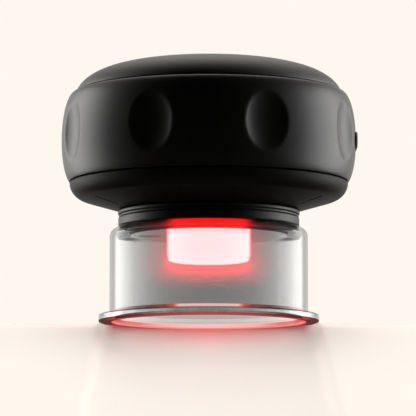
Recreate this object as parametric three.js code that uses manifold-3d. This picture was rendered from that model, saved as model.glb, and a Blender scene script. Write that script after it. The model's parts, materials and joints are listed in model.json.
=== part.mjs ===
import * as THREE from 'three';
import { mergeVertices } from 'three/addons/utils/BufferGeometryUtils.js';
import Module from 'manifold-3d';

// Electric cupping massager: a round head with finger dimples on a clear suction cup.
// Millimetres, +Z up, front towards -Y. The cup's rim rests on z = 0, centred on the Z axis.

const wasm = await Module();
wasm.setup();

// Clearances
const seat = 0.3;
const slip = 0.2;
const overrun = 1;

// Facets
const largeTurn = 44;
const midTurn = 20;
const smallTurn = 8;
const arcSteps = 4;
const fewSteps = 2;
const lipSteps = 5;
const bandSteps = 6;
const capSteps = 7;

// Cup
const cupWallR = 30.2;
const cupWall = 1.6;
const cupShoulderZ = 28.7;
const cupShoulderFillet = 2.6;
const cupCeiling = 1.8;
const cupShoulderReach = 4.2;
const cupNeckWall = 1.5;
const cupNeckH = 3.2;
const rimReach = 3.3;
const rimT = 2;
const rimEdge = 0.5;
const rimRoot = 0.8;

const cupNeckR = cupWallR - cupShoulderReach;
const rimR = cupWallR + rimReach;
const cupInnerR = cupWallR - cupWall;
const cupInnerFillet = cupShoulderFillet - cupWall;
const cupMouthR = cupNeckR - cupNeckWall;
const cupNeckTop = cupShoulderZ + cupNeckH;
const cupCeilingZ = cupShoulderZ - cupCeiling;

// Neck of the head: a skirt outside the cup's neck and a plug inside it
const collarWall = 1.3;
const collarRound = 0.7;
const collarBandH = 2.9;
const lowerBeadStep = 0.2;
const lowerBeadH = 0.8;
const upperBeadStep = 0.1;
const upperBeadH = 1.2;
const beadRoot = 0.35;
const plugWall = 2.4;
const plugReach = 2.6;
const plugFloor = 1.5;
const sealCutDepth = 1.3;
const sealCutH = 1.8;
const sealInset = 1.2;
const neckBossR = 2.5;
const neckBossBite = 0.3;

const collarBottomZ = cupShoulderZ + seat;
const collarBandTop = collarBottomZ + collarBandH;
const collarTop = collarBandTop + lowerBeadH + upperBeadH;
const skirtInnerR = cupNeckR + seat;
const collarR = skirtInnerR + collarWall;
const lowerBeadR = collarR - lowerBeadStep;
const upperBeadR = collarR + upperBeadStep;
const skirtCeilingZ = cupNeckTop + seat;
const plugR = cupMouthR - seat;
const plugInnerR = plugR - plugWall;
const plugBottomZ = collarBottomZ - plugReach;
const plugFloorTop = plugBottomZ + plugFloor;
const sealCutR = plugR - sealCutDepth;
const sealCutZ = plugBottomZ + sealInset;
const neckScrewRingR = plugInnerR - neckBossR + neckBossBite;

// Lamp under the plug
const lampFlangeReach = 3.8;
const lampDrop = 7.8;
const lampWall = 1.3;
const lampEdge = 2;
const lampFlangeT = 1;
const ledBoardT = 1.2;
const ledR = 1.8;
const ledH = 1;
const ledRingShare = 0.54;
const ledCount = 3;

const lampBottomZ = plugBottomZ - lampDrop;
const lampFlangeR = neckScrewRingR - neckBossR - seat;
const lampR = lampFlangeR - lampFlangeReach;
const lampHoleR = lampR + seat;
const ledRingR = lampR * ledRingShare;
const lampScrewRingR = (lampR + lampFlangeR) / 2;
const lampFlangeZ = plugFloorTop + seat;
const ledBoardZ = lampFlangeZ + lampFlangeT + seat;

// Suction port in the plug
const portMargin = 1.5;
const portY = 0.6;
const hoseR = 2;
const hoseBoreR = 1.25;
const hoseBendR = 5;
const hoseSides = 8;
const hoseSteps = 9;
const nippleR = 1;
const nippleBoreR = 0.5;
const nippleH = 3;
const filterR = 3.2;
const filterT = 0.7;

const portX = -lampHoleR - filterR - portMargin;

// Bottom housing of the head
const dishFootStep = 0.4;
const dishDepth = 8.5;
const dishLipStep = 2.5;
const dishLipFillet = 5.2;
const dishLipSweep = 71;
const dishWall = 2;
const dishFloor = 2.2;
const spigotWall = 1.5;
const spigotH = 4;
const wireHoleR = 4;
const ventW = 0.8;
const ventInnerShare = 0.15;
const ventOuterShare = 0.64;
const ventAngles = [67.5, 112.5, 247.5, 292.5];

const dishFootR = collarR - dishFootStep;
const dishFootZ = collarTop + seat;
const dishFloorTop = dishFootZ + dishFloor;
const seamLowZ = dishFootZ + dishDepth;

// Grip ring of the head
const gripR = 45;
const gripLowerH = 12.65;
const gripUpperH = 14.85;
const gripLowerBulge = 3.5;
const gripUpperBulge = 3.96;
const gripLowerSweep = 71;
const gripWall = 4.6;
const gripMouthReach = 6.4;
const gripMouthH = 2.6;

const gripWaistZ = seamLowZ + gripLowerH;
const seamHighZ = gripWaistZ + gripUpperH;
const gripBottomZ = seamLowZ + seat / 2;
const gripTopZ = seamHighZ - seat / 2;
const gripInnerR = gripR - gripWall;
const gripMouthR = gripR - gripMouthReach;
const dishLipR = gripR - dishLipStep;
const ventInnerR = dishFootR + (dishLipR - dishFootR) * ventInnerShare;
const ventOuterR = dishFootR + (dishLipR - dishFootR) * ventOuterShare;
const spigotR = gripMouthR - seat;
const spigotInnerR = spigotR - spigotWall;
const spigotTop = seamLowZ + spigotH;

// Finger dimples in the grip ring
const dimpleCount = 8;
const dimpleDepth = 2.3;
const dimpleCutR = 6;
const dimpleCutW = 8.5;
const dimpleCutH = 11.4;
const dimpleRise = 1.1;

// Top cap
const capWall = 2.2;
const capSkirt = 0.85;
const capRise = 10.28;
const capStep = 4.29;
const capSpreadShare = 2 / 3.73;
const capRiseShare = 2 / 1.79;
const capSpigotH = 4.4;
const capInnerSweep = 66;

const capSpreadR = gripR - capStep;
const capBottomZ = seamHighZ + seat / 2;
const capBaseZ = seamHighZ - capSkirt;
const capSpigotZ = gripTopZ - capSpigotH;
const capInnerSpread = capSpreadR - capWall;
const capInnerRise = capRise - capWall;

// Display in the top cap
const windowR = 10;
const windowT = 1.1;
const windowLedge = 1.4;
const displayW = 15;
const displayD = 9;
const displayH = 2.4;

const windowZ = capBaseZ + capRise - windowT;

// Push keys in the top cap
const keyR = 5;
const keyFlangeR = 6;
const keyFlangeT = 0.8;
const keyRingShare = 0.54;
const keyProud = 0.5;
const keySwitchW = 6;
const keySwitchH = 2;
const keyStemR = 1.5;
const keys = [
  { name: 'suction_key', switchName: 'suction_switch', bearing: 240 },
  { name: 'power_key', switchName: 'power_switch', bearing: 180 },
  { name: 'heat_key', switchName: 'heat_switch', bearing: 120 },
];

const keyRingR = capSpreadR * keyRingShare;

// Control board under the top cap
const controlBoardMargin = 3.8;
const controlBoardT = 1.6;
const controlBoardDrop = 5.6;
const capPostR = 2.6;
const capPostInset = 4;
const capPostBearings = [90, 210, 330];

const controlBoardR = spigotInnerR - controlBoardMargin;
const capPostRingR = controlBoardR - capPostInset;
const controlBoardTop = capBaseZ + capInnerRise - controlBoardDrop;
const controlBoardZ = controlBoardTop - controlBoardT;

// Tray for the pump and the battery
const trayRise = 2.25;
const trayT = 1.6;
const trayWireR = 2.4;
const trayHoseR = 2.6;
const trayZ = seamLowZ + trayRise;
const trayTop = trayZ + trayT;
const trayR = spigotInnerR - seat;
const headroom = controlBoardZ - trayTop;
const trayPostR = 3;
const trayPostInset = 5.5;
const trayPostBearings = [0, 110, 250];

const trayPostRingR = trayR - trayPostInset;

// Pump, lying along X, sized by the tray and the headroom over it
const pumpPlaceShare = -0.39;
const motorRadiusShare = 0.405;
const motorLengthShare = 0.63;
const motorRearShare = 0.685;
const motorBoreR = 1.3;
const motorBoreL = 7;
const pumpHeadStep = 0.8;
const pumpHeadLengthShare = 0.3;
const pumpHeadWall = 2.9;
const pumpHeadFloor = 2.6;
const pumpNeckR = 2.4;
const diaphragmStep = 0.8;
const diaphragmT = 1.2;
const diaphragmCupShare = 0.27;
const diaphragmCupL = 1.2;
const diaphragmRingShare = 0.46;
const diaphragmCupCount = 3;
const pumpCoverLengthShare = 0.137;
const shaftR = 1;
const shaftGap = 1;
const eccentricRadiusShare = 0.61;
const eccentricLengthShare = 0.38;
const eccentricOffset = 1.2;

const pumpY = trayR * pumpPlaceShare;
const motorR = headroom * motorRadiusShare;
const motorL = trayR * motorLengthShare;
const motorRearX = trayR * motorRearShare;
const pumpHeadR = motorR + pumpHeadStep;
const pumpHeadL = trayR * pumpHeadLengthShare;
const pumpChamberR = pumpHeadR - pumpHeadWall;
const pumpChamberL = pumpHeadL - pumpHeadFloor;
const pumpCoverL = trayR * pumpCoverLengthShare;
const diaphragmR = pumpHeadR - diaphragmStep;
const diaphragmCupR = diaphragmR * diaphragmCupShare;
const diaphragmCupRingR = diaphragmR * diaphragmRingShare;
const eccentricR = pumpChamberR * eccentricRadiusShare;
const eccentricL = pumpChamberL * eccentricLengthShare;
const pumpZ = trayTop + seat + pumpHeadR;
const motorFrontX = motorRearX - motorL;
const pumpHeadX = motorFrontX - seat;
const diaphragmX = pumpHeadX - pumpHeadL - slip;
const pumpCoverX = diaphragmX - diaphragmT - slip;
const pumpEndX = pumpCoverX - pumpCoverL;
const inletZ = pumpZ - pumpHeadR / 3;
const outletZ = pumpZ + pumpHeadR / 3;

// Battery, lying along X, sized by the tray and the headroom over it
const batteryPlaceShare = 0.39;
const batteryRadiusShare = 0.384;
const batteryLengthShare = 1.37;
const batteryNubR = 3;
const batteryNubL = 1;
const batteryLift = 1;

const batteryY = trayR * batteryPlaceShare;
const batteryR = headroom * batteryRadiusShare;
const batteryL = trayR * batteryLengthShare;
const batteryZ = trayTop + batteryLift + seat + batteryR;

// Saddles and straps that hold the pump and the battery
const saddleL = 6;
const saddleRise = 4;
const saddleWidthShare = 1.6;
const strapW = 5;
const strapT = 0.8;
const motorSaddleShare = 0.26;
const motorStrapShare = 0.65;
const batterySaddleShare = 0.34;
const batteryStrapShare = 0.14;

const motorSaddleX = motorRearX - motorL * motorSaddleShare;
const motorStrapX = motorRearX - motorL * motorStrapShare;
const batterySaddleX = batteryL * batterySaddleShare;
const batteryStrapX = batteryL * batteryStrapShare;

// Release valve
const valvePlaceShare = -0.838;
const valveWidthShare = 0.22;
const valveDepthShare = 0.3;
const valveH = 15;
const plungerR = 1.8;
const plungerHeadR = 2.6;
const plungerHeadH = 1;
const plungerL = 8;
const valveTravel = 1;
const valveWellR = 3;
const valveWellH = 5;
const springWireR = 0.25;
const springR = 2.35;
const springTurns = 5;
const springStepsPerTurn = 8;
const springSides = 5;

const valveX = trayR * valvePlaceShare;
const valveY = portY;
const valveW = trayR * valveWidthShare;
const valveD = trayR * valveDepthShare;
const valveZ = trayTop + seat;
const valveTop = valveZ + valveH;
const valvePortZ = valveZ + valveH / 3;

// Side button in the grip ring, at +X
const sideButtonH = 5.4;
const sideButtonW = 13;
const sideButtonProud = 0.5;
const sideButtonT = 2.2;
const sideFlangeMargin = 1.2;
const sideFlangeT = 0.9;
const sideStemR = 1.4;
const sideSwitchW = 4.5;
const sideSwitchT = 2;
const sideBoardW = 12;
const sideBoardT = 1;
const sideBoardInset = 4.2;
const sideClipT = 1.2;
const sideClipH = 2.4;

const sideBoardX = gripMouthR - sideBoardInset;
const sideFlangeX = gripR + sideButtonProud - sideButtonT;

// Charging socket in the grip ring, at +Y
const socketW = 9;
const socketH = 3.3;
const socketL = 7.4;
const socketWall = 0.35;
const socketTongueH = 0.7;
const socketRecess = 0.8;
const socketBoardW = 18;
const socketBoardL = 13;
const socketBoardT = 1.2;
const socketBoardRise = 5;
const socketPostR = 1.8;
const socketSkin = 2.4;

const socketMouthY = gripR - socketRecess;
const socketPocketY = gripR - socketSkin;
const socketBoardBackY = socketPocketY - seat - socketBoardL;
const socketBoardZ = trayTop + socketBoardRise;
const socketZ = socketBoardZ + socketBoardT + slip + socketH / 2;

// Screws
const screwR = 1;
const screwHoleR = 1.3;
const screwHeadR = 1.9;
const screwHeadH = 1.2;
const screwL = 5;
const neckScrewBearings = [60, 180, 300];
const lampScrewBearings = [0, 120, 240];
const lampScrewL = 2.6;
const pilotDepth = 3.4;

// Wires inside the head
const wireR = 0.6;
const wireSides = 4;
const wireSteps = 8;
const leadWaist = Math.PI / 6;
const leadBendShare = 0.2;

const point = (r, z) => new THREE.Vector2(r, z);
const place = (x, y, z) => new THREE.Vector3(x, y, z);
const radians = (degrees) => THREE.MathUtils.degToRad(degrees);

// A place at a bearing round the Z axis: 0 is the front, 90 is +X
function around(radius, bearing, z = 0) {
  const angle = radians(bearing);
  return place(radius * Math.sin(angle), -radius * Math.cos(angle), z);
}

// Points of an elliptic arc about (r, z), angles from the +r side towards +z
function arc(r, z, wide, high, from, to, steps = arcSteps) {
  const points = [];
  for (let i = 0; i <= steps; i += 1) {
    const angle = radians(from + ((to - from) * i) / steps);
    points.push(point(r + wide * Math.cos(angle), z + high * Math.sin(angle)));
  }
  return points;
}

function signedVolume(geometry) {
  const position = geometry.getAttribute('position');
  const index = geometry.getIndex();
  const corner = [place(0, 0, 0), place(0, 0, 0), place(0, 0, 0)];
  let sum = 0;
  for (let i = 0; i < index.count; i += 3) {
    corner.forEach((c, k) => c.fromBufferAttribute(position, index.getX(i + k)));
    sum += corner[0].dot(corner[1].clone().cross(corner[2]));
  }
  return sum / 6;
}

// One closed surface: shared corners merged, empty faces dropped, faces turned outwards
function closed(geometry) {
  geometry.deleteAttribute('normal');
  geometry.deleteAttribute('uv');
  const merged = mergeVertices(geometry);
  const index = merged.getIndex();
  const kept = [];
  for (let i = 0; i < index.count; i += 3) {
    const face = [index.getX(i), index.getX(i + 1), index.getX(i + 2)];
    if (new Set(face).size === face.length) kept.push(...face);
  }
  merged.setIndex(kept);
  if (signedVolume(merged) < 0) {
    for (let i = 0; i < kept.length; i += 3) [kept[i], kept[i + 1]] = [kept[i + 1], kept[i]];
    merged.setIndex(kept);
  }
  return merged;
}

function toSolid(geometry) {
  return new wasm.Manifold(new wasm.Mesh({
    numProp: 3,
    vertProperties: new Float32Array(geometry.getAttribute('position').array),
    triVerts: new Uint32Array(geometry.getIndex().array),
  }));
}

function fromSolid(solid) {
  const mesh = solid.getMesh();
  const geometry = new THREE.BufferGeometry();
  geometry.setAttribute('position', new THREE.BufferAttribute(new Float32Array(mesh.vertProperties), 3));
  geometry.setIndex(new THREE.BufferAttribute(new Uint32Array(mesh.triVerts), 1));
  return geometry;
}

function cut(base, ...tools) {
  return fromSolid(tools.reduce((solid, tool) => solid.subtract(toSolid(tool)), toSolid(base)));
}

function join(base, ...others) {
  return fromSolid(others.reduce((solid, other) => solid.add(toSolid(other)), toSolid(base)));
}

// A solid turned about the Z axis; an outline that starts off the axis closes on itself
function turned(outline, turn) {
  const points = outline[0].x === 0 ? outline : [...outline, outline[0].clone()];
  return closed(new THREE.LatheGeometry(points, turn).rotateX(Math.PI / 2));
}

function rod(radius, from, to, turn = smallTurn) {
  return turned([point(0, from), point(radius, from), point(radius, to), point(0, to)], turn);
}

// Lays a solid turned about Z along the X axis: its height runs towards +X
function alongX(geometry, y, z) {
  return geometry.rotateY(Math.PI / 2).translate(0, y, z);
}

function block(minX, minY, minZ, maxX, maxY, maxZ) {
  const geometry = new THREE.BoxGeometry(maxX - minX, maxY - minY, maxZ - minZ);
  return closed(geometry.translate((minX + maxX) / 2, (minY + maxY) / 2, (minZ + maxZ) / 2));
}

function movedTo(geometry, where) {
  return geometry.translate(where.x, where.y, where.z);
}

function circle(radius, sides) {
  const points = [];
  for (let i = 0; i < sides; i += 1) {
    const angle = (2 * Math.PI * i) / sides;
    points.push(point(radius * Math.cos(angle), radius * Math.sin(angle)));
  }
  return points;
}

// A round section swept along a smooth path, with a bore where one is given
function swept(places, radius, bore, sides, steps) {
  const shape = new THREE.Shape(circle(radius, sides));
  if (bore > 0) shape.holes.push(new THREE.Path(circle(bore, sides)));
  const extrudePath = new THREE.CatmullRomCurve3(places);
  return closed(new THREE.ExtrudeGeometry(shape, { steps, bevelEnabled: false, extrudePath }));
}

// A flat-ended pill, wide along Y and high along Z, from one x to another
function pill(width, height, fromX, toX) {
  const half = height / 2;
  const reach = width / 2 - half;
  const shape = new THREE.Shape();
  shape.absarc(0, reach, half, 0, Math.PI, false);
  shape.absarc(0, -reach, half, Math.PI, 2 * Math.PI, false);
  const options = { depth: toX - fromX, bevelEnabled: false, curveSegments: smallTurn / 2 };
  const geometry = new THREE.ExtrudeGeometry(shape, options);
  return closed(geometry.rotateY(Math.PI / 2).translate(fromX, 0, 0));
}

function screw(length) {
  return turned([
    point(0, -length), point(screwR, -length), point(screwR, 0),
    point(screwHeadR, 0), point(screwHeadR, screwHeadH), point(0, screwHeadH),
  ], smallTurn);
}

const massager = new THREE.Group();

function addPiece(name, geometry, color, roughness, metalness = 0) {
  const material = new THREE.MeshStandardMaterial({ color, roughness, metalness });
  const mesh = new THREE.Mesh(geometry, material);
  mesh.name = name;
  massager.add(mesh);
}

// A ring of screws whose heads rest at one height, pointing down or up
function addScrews(name, bearings, ringR, z, length, upwards = false) {
  bearings.forEach((bearing, i) => {
    const turnedOver = screw(length).rotateX(upwards ? Math.PI : 0);
    addPiece(`${name}_${i + 1}`, movedTo(turnedOver, around(ringR, bearing, z)), steel, 0.35, 1);
  });
}

const shellBlack = 0x1b1a1a;
const innerBlack = 0x262626;
const boardGreen = 0x1f4a33;
const steel = 0xb9bcc0;
const partWhite = 0xe4e2de;
const rubberGrey = 0x4a4a4c;

// Clear cup: flat rim, straight wall, rounded shoulder and a short neck
function clearCup() {
  const outline = [
    point(cupInnerR, 0), point(rimR - rimEdge, 0), point(rimR, rimEdge),
    point(rimR, rimT - rimEdge), point(rimR - rimEdge, rimT),
    ...arc(cupWallR + rimRoot, rimT + rimRoot, rimRoot, rimRoot, 270, 180, fewSteps),
    ...arc(cupWallR - cupShoulderFillet, cupShoulderZ - cupShoulderFillet,
      cupShoulderFillet, cupShoulderFillet, 0, 90),
    point(cupNeckR, cupShoulderZ), point(cupNeckR, cupNeckTop),
    point(cupMouthR, cupNeckTop), point(cupMouthR, cupCeilingZ),
    ...arc(cupInnerR - cupInnerFillet, cupCeilingZ - cupInnerFillet,
      cupInnerFillet, cupInnerFillet, 90, 0, fewSteps),
  ];
  return turned(outline, largeTurn);
}

// Neck housing: banded collar outside, plug inside, with the cup's neck between them
function neckHousing() {
  const bead = (radius, height, z) => [
    point(radius - beadRoot, z), point(radius, z + height / 3),
    point(radius, z + (2 * height) / 3), point(radius - beadRoot, z + height),
  ];
  const outline = [
    point(skirtInnerR, collarBottomZ),
    ...arc(collarR - collarRound, collarBottomZ + collarRound, collarRound, collarRound,
      270, 360, fewSteps),
    point(collarR, collarBandTop - collarRound),
    ...bead(lowerBeadR, lowerBeadH, collarBandTop),
    ...bead(upperBeadR, upperBeadH, collarBandTop + lowerBeadH).slice(1),
    point(plugInnerR, collarTop), point(plugInnerR, plugFloorTop),
    point(lampHoleR, plugFloorTop), point(lampHoleR, plugBottomZ),
    point(plugR, plugBottomZ), point(plugR, sealCutZ),
    point(sealCutR, sealCutZ), point(sealCutR, sealCutZ + sealCutH),
    point(plugR, sealCutZ + sealCutH), point(plugR, skirtCeilingZ),
    point(skirtInnerR, skirtCeilingZ),
  ];
  const bosses = neckScrewBearings.map((bearing) => movedTo(
    rod(neckBossR, plugFloor / 2, collarTop - plugBottomZ),
    around(neckScrewRingR, bearing, plugBottomZ),
  ));
  const pilots = neckScrewBearings.map((bearing) => movedTo(
    rod(screwHoleR, -pilotDepth, overrun),
    around(neckScrewRingR, bearing, collarTop),
  ));
  const lampPilots = lampScrewBearings.map((bearing) => movedTo(
    rod(screwHoleR, -plugFloor / 2, overrun),
    around(lampScrewRingR, bearing, plugFloorTop),
  ));
  const port = place(portX, portY, plugBottomZ);
  const nipple = movedTo(rod(nippleR, plugFloor / 2, plugFloor + nippleH), port);
  const bore = movedTo(rod(nippleBoreR, -overrun, plugFloor + nippleH + overrun), port);
  const filterPocket = movedTo(rod(filterR + slip, -overrun, filterT + slip), port);
  const housing = join(turned(outline, largeTurn), ...bosses, nipple);
  return cut(housing, ...pilots, ...lampPilots, bore, filterPocket);
}

// Rubber sealing ring in the plug's groove
function plugSeal() {
  const inner = sealCutR + slip;
  const outer = cupMouthR - slip;
  const low = sealCutZ + slip;
  const high = sealCutZ + sealCutH - slip;
  const bevel = (outer - inner) / 3;
  const outline = [
    point(inner, low + bevel), point(inner + bevel, low), point(outer - bevel, low),
    point(outer, low + bevel), point(outer, high - bevel), point(outer - bevel, high),
    point(inner + bevel, high), point(inner, high - bevel),
  ];
  return turned(outline, largeTurn);
}

function suctionFilter() {
  return movedTo(rod(filterR, 0, filterT), place(portX, portY, plugBottomZ));
}

// Lamp window: a frosted drum with a flange above the plug's floor
function lampWindow() {
  const innerR = lampR - lampWall;
  const innerEdge = lampEdge - lampWall;
  const outline = [
    point(0, lampBottomZ),
    ...arc(lampR - lampEdge, lampBottomZ + lampEdge, lampEdge, lampEdge, 270, 360),
    point(lampR, lampFlangeZ), point(lampFlangeR, lampFlangeZ),
    point(lampFlangeR, lampFlangeZ + lampFlangeT), point(innerR, lampFlangeZ + lampFlangeT),
    ...arc(innerR - innerEdge, lampBottomZ + lampEdge, innerEdge, innerEdge, 360, 270, fewSteps),
    point(0, lampBottomZ + lampWall),
  ];
  const holes = lampScrewBearings.map((bearing) => movedTo(
    rod(screwHoleR, -overrun, lampFlangeT + overrun),
    around(lampScrewRingR, bearing, lampFlangeZ),
  ));
  const port = place(portX, portY, lampFlangeZ);
  const relief = movedTo(rod(hoseR + seat, -overrun, lampFlangeT + overrun), port);
  return cut(turned(outline, midTurn), ...holes, relief);
}

function lampBoard() {
  const holes = lampScrewBearings.map((bearing) => movedTo(
    rod(screwHoleR, -overrun, ledBoardT + overrun),
    around(lampScrewRingR, bearing, ledBoardZ),
  ));
  const port = place(portX, portY, ledBoardZ);
  const relief = movedTo(rod(hoseR + seat, -overrun, ledBoardT + overrun), port);
  const board = movedTo(rod(lampFlangeR, 0, ledBoardT, midTurn), place(0, 0, ledBoardZ));
  return cut(board, ...holes, relief);
}

function lampLed(where) {
  return movedTo(rod(ledR, 0, ledH, smallTurn), where);
}

// Bottom housing: a shallow dish with a rounded lip, a flat foot and a spigot for the grip ring
function bottomHousing() {
  const lipZ = seamLowZ - seat / 2;
  const lip = arc(dishLipR - dishLipFillet, lipZ, dishLipFillet, dishLipFillet,
    0, -dishLipSweep, lipSteps);
  const innerFillet = dishLipFillet - dishWall;
  const innerFrom = THREE.MathUtils.radToDeg(Math.acos(
    (spigotInnerR - dishLipR + dishLipFillet) / innerFillet,
  ));
  const inner = arc(dishLipR - dishLipFillet, lipZ, innerFillet, innerFillet,
    -dishLipSweep, -Math.min(innerFrom, dishLipSweep), fewSteps);
  const outline = [
    point(0, dishFloorTop), point(dishFootR - dishWall, dishFloorTop), ...inner,
    point(spigotInnerR, spigotTop), point(spigotR, spigotTop), point(spigotR, lipZ),
    ...lip, point(dishFootR, dishFootZ), point(0, dishFootZ),
  ];
  const coneEnd = lip.at(-1);
  const coneSlope = (coneEnd.y - dishFootZ) / (coneEnd.x - dishFootR);
  const postReach = Math.max(trayPostRingR + trayPostR - dishFootR, 0);
  const posts = trayPostBearings.map((bearing) => movedTo(
    rod(trayPostR, dishFootZ + postReach * coneSlope + dishFloor / 2, trayZ - seat),
    around(trayPostRingR, bearing),
  ));
  const pilots = trayPostBearings.map((bearing) => movedTo(
    rod(screwHoleR, -pilotDepth, overrun),
    around(trayPostRingR, bearing, trayZ - seat),
  ));
  const screwHoles = neckScrewBearings.map((bearing) => movedTo(
    rod(screwHoleR, -overrun, dishFloor + overrun),
    around(neckScrewRingR, bearing, dishFootZ),
  ));
  const wireHole = movedTo(rod(wireHoleR, -overrun, dishFloor + overrun, midTurn),
    place(0, 0, dishFootZ));
  const hoseHole = movedTo(rod(hoseR + seat, -overrun, dishFloor + overrun),
    place(portX, portY, dishFootZ));
  const vents = ventAngles.map((bearing) => block(
    -ventW / 2, -ventOuterR, dishFootZ, ventW / 2, -ventInnerR, lipZ,
  ).rotateZ(radians(bearing)));
  const housing = join(turned(outline, largeTurn), ...posts);
  return cut(housing, ...pilots, ...screwHoles, wireHole, hoseHole, ...vents);
}

// Grip ring: a rounded band with finger dimples, a button slot and a socket slot
function gripRing() {
  const lowerSemi = (gripWaistZ - gripBottomZ) / Math.sin(radians(gripLowerSweep));
  const lower = arc(gripR - gripLowerBulge, gripWaistZ, gripLowerBulge, lowerSemi,
    -gripLowerSweep, 0, lipSteps);
  const upper = arc(gripR - gripUpperBulge, gripWaistZ, gripUpperBulge, gripTopZ - gripWaistZ,
    0, 90, bandSteps);
  const outline = [
    point(gripMouthR, gripBottomZ), ...lower, ...upper.slice(1),
    point(gripMouthR, gripTopZ), point(gripMouthR, gripTopZ - gripMouthH),
    point(gripInnerR, gripTopZ - 2 * gripMouthH), point(gripInnerR, gripBottomZ + 2 * gripMouthH),
    point(gripMouthR, gripBottomZ + gripMouthH),
  ];
  const cutters = [];
  for (let i = 0; i < dimpleCount; i += 1) {
    const dimple = closed(new THREE.SphereGeometry(1, midTurn, midTurn / 2));
    dimple.rotateX(Math.PI / 2).scale(dimpleCutW, dimpleCutR, dimpleCutH);
    dimple.translate(0, dimpleDepth - gripR - dimpleCutR, gripWaistZ + dimpleRise);
    cutters.push(dimple.rotateZ(radians((360 * (i + 1 / 2)) / dimpleCount)));
  }
  const buttonSlot = pill(sideButtonW + 2 * seat, sideButtonH + 2 * seat, gripMouthR, gripR + overrun)
    .translate(0, 0, gripWaistZ);
  const flangePocket = pill(sideButtonW + 2 * sideFlangeMargin + 2 * seat,
    sideButtonH + 2 * sideFlangeMargin + 2 * seat, gripMouthR, sideFlangeX + seat)
    .translate(0, 0, gripWaistZ);
  const socketSlot = block(-socketW / 2 - seat, gripMouthR - 2 * overrun, socketZ - socketH / 2 - seat,
    socketW / 2 + seat, gripR + overrun, socketZ + socketH / 2 + seat);
  const socketPocket = block(-socketBoardW / 2 - seat, gripMouthR - 2 * overrun, socketBoardZ - seat,
    socketBoardW / 2 + seat, socketPocketY, socketZ + socketH / 2 + seat);
  const holes = [buttonSlot, flangePocket, socketSlot, socketPocket];
  return cut(turned(outline, largeTurn), ...cutters, ...holes);
}

// Side button: a pill-shaped face with a wider flange and a stem towards its switch
function sideButton() {
  const face = pill(sideButtonW, sideButtonH, sideFlangeX - sideFlangeT / 2, gripR + sideButtonProud);
  const flange = pill(sideButtonW + 2 * sideFlangeMargin, sideButtonH + 2 * sideFlangeMargin,
    sideFlangeX - sideFlangeT, sideFlangeX);
  const stem = alongX(rod(sideStemR, sideBoardX + sideBoardT + sideSwitchT + slip + seat,
    sideFlangeX - sideFlangeT / 2), 0, 0);
  return join(flange, face, stem).translate(0, 0, gripWaistZ);
}

function sideBoard() {
  return block(sideBoardX, -sideBoardW / 2, trayTop + seat,
    sideBoardX + sideBoardT, sideBoardW / 2, gripWaistZ + sideSwitchW);
}

function sideSwitch() {
  const x = sideBoardX + sideBoardT + slip;
  return block(x, -sideSwitchW / 2, gripWaistZ - sideSwitchW / 2,
    x + sideSwitchT, sideSwitchW / 2, gripWaistZ + sideSwitchW / 2);
}

function capPoint(spread, rise, sweep) {
  const angle = radians(sweep);
  return point(spread * Math.sin(angle) ** capSpreadShare,
    capBaseZ + rise * Math.max(Math.cos(angle), 0) ** capRiseShare);
}

function capCurve(spread, rise, from, to) {
  const points = [];
  for (let i = 0; i <= capSteps; i += 1) {
    points.push(capPoint(spread, rise, from + ((to - from) * i) / capSteps));
  }
  return points;
}

// Height of the cap's outer or inner face at a distance from the axis
function capHeight(radius, spread, rise) {
  const sweep = Math.asin((radius / spread) ** (1 / capSpreadShare));
  return capBaseZ + rise * Math.cos(sweep) ** capRiseShare;
}

// Top cap: a shallow dome with a spigot, a window seat, key holes and posts for the board
function topCap() {
  const edgeSweep = THREE.MathUtils.radToDeg(
    Math.acos(((capBottomZ - capBaseZ) / capRise) ** (1 / capRiseShare)),
  );
  const outline = [
    ...capCurve(capInnerSpread, capInnerRise, 0, capInnerSweep),
    point(spigotInnerR, capSpigotZ), point(spigotR, capSpigotZ), point(spigotR, capBottomZ),
    ...capCurve(capSpreadR, capRise, edgeSweep, 0),
  ];
  const postTop = capHeight(capPostRingR, capInnerSpread, capInnerRise);
  const posts = capPostBearings.map((bearing) => movedTo(
    rod(capPostR, controlBoardTop + seat, postTop + capWall / 2),
    around(capPostRingR, bearing),
  ));
  const pilots = capPostBearings.map((bearing) => movedTo(
    rod(screwHoleR, -overrun, pilotDepth),
    around(capPostRingR, bearing, controlBoardTop + seat),
  ));
  const keyHoles = keys.map((key) => movedTo(
    rod(keyR + seat, controlBoardTop + seat, capBaseZ + capRise + overrun, midTurn),
    around(keyRingR, key.bearing),
  ));
  const windowSeat = rod(windowR + seat, windowZ - seat, capBaseZ + capRise + overrun, midTurn);
  const windowHole = rod(windowR - windowLedge, controlBoardTop, windowZ, midTurn);
  const shell = join(turned(outline, largeTurn), ...posts);
  return cut(shell, ...pilots, ...keyHoles, windowSeat, windowHole);
}

function displayWindow() {
  return rod(windowR, windowZ, capHeight(windowR, capSpreadR, capRise), midTurn);
}

function displayModule() {
  const z = controlBoardTop + slip;
  return block(-displayW / 2, -displayD / 2, z, displayW / 2, displayD / 2, z + displayH);
}

// A push key: a round cap with a flange under the shell and a stem towards its switch
function pushKey(key) {
  const ceiling = capHeight(keyRingR + keyFlangeR, capInnerSpread, capInnerRise);
  const flangeTop = ceiling - seat;
  const top = capHeight(keyRingR, capSpreadR, capRise) + keyProud;
  const stemZ = controlBoardTop + slip + keySwitchH + seat;
  const outline = [
    point(0, stemZ), point(keyStemR, stemZ), point(keyStemR, flangeTop - keyFlangeT),
    point(keyFlangeR, flangeTop - keyFlangeT), point(keyFlangeR, flangeTop),
    point(keyR, flangeTop), point(keyR, top - keyProud), point(keyR - keyProud, top), point(0, top),
  ];
  return movedTo(turned(outline, midTurn), around(keyRingR, key.bearing));
}

function keySwitch(key) {
  const half = keySwitchW / 2;
  return movedTo(block(-half, -half, 0, half, half, keySwitchH),
    around(keyRingR, key.bearing, controlBoardTop + slip));
}

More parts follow.
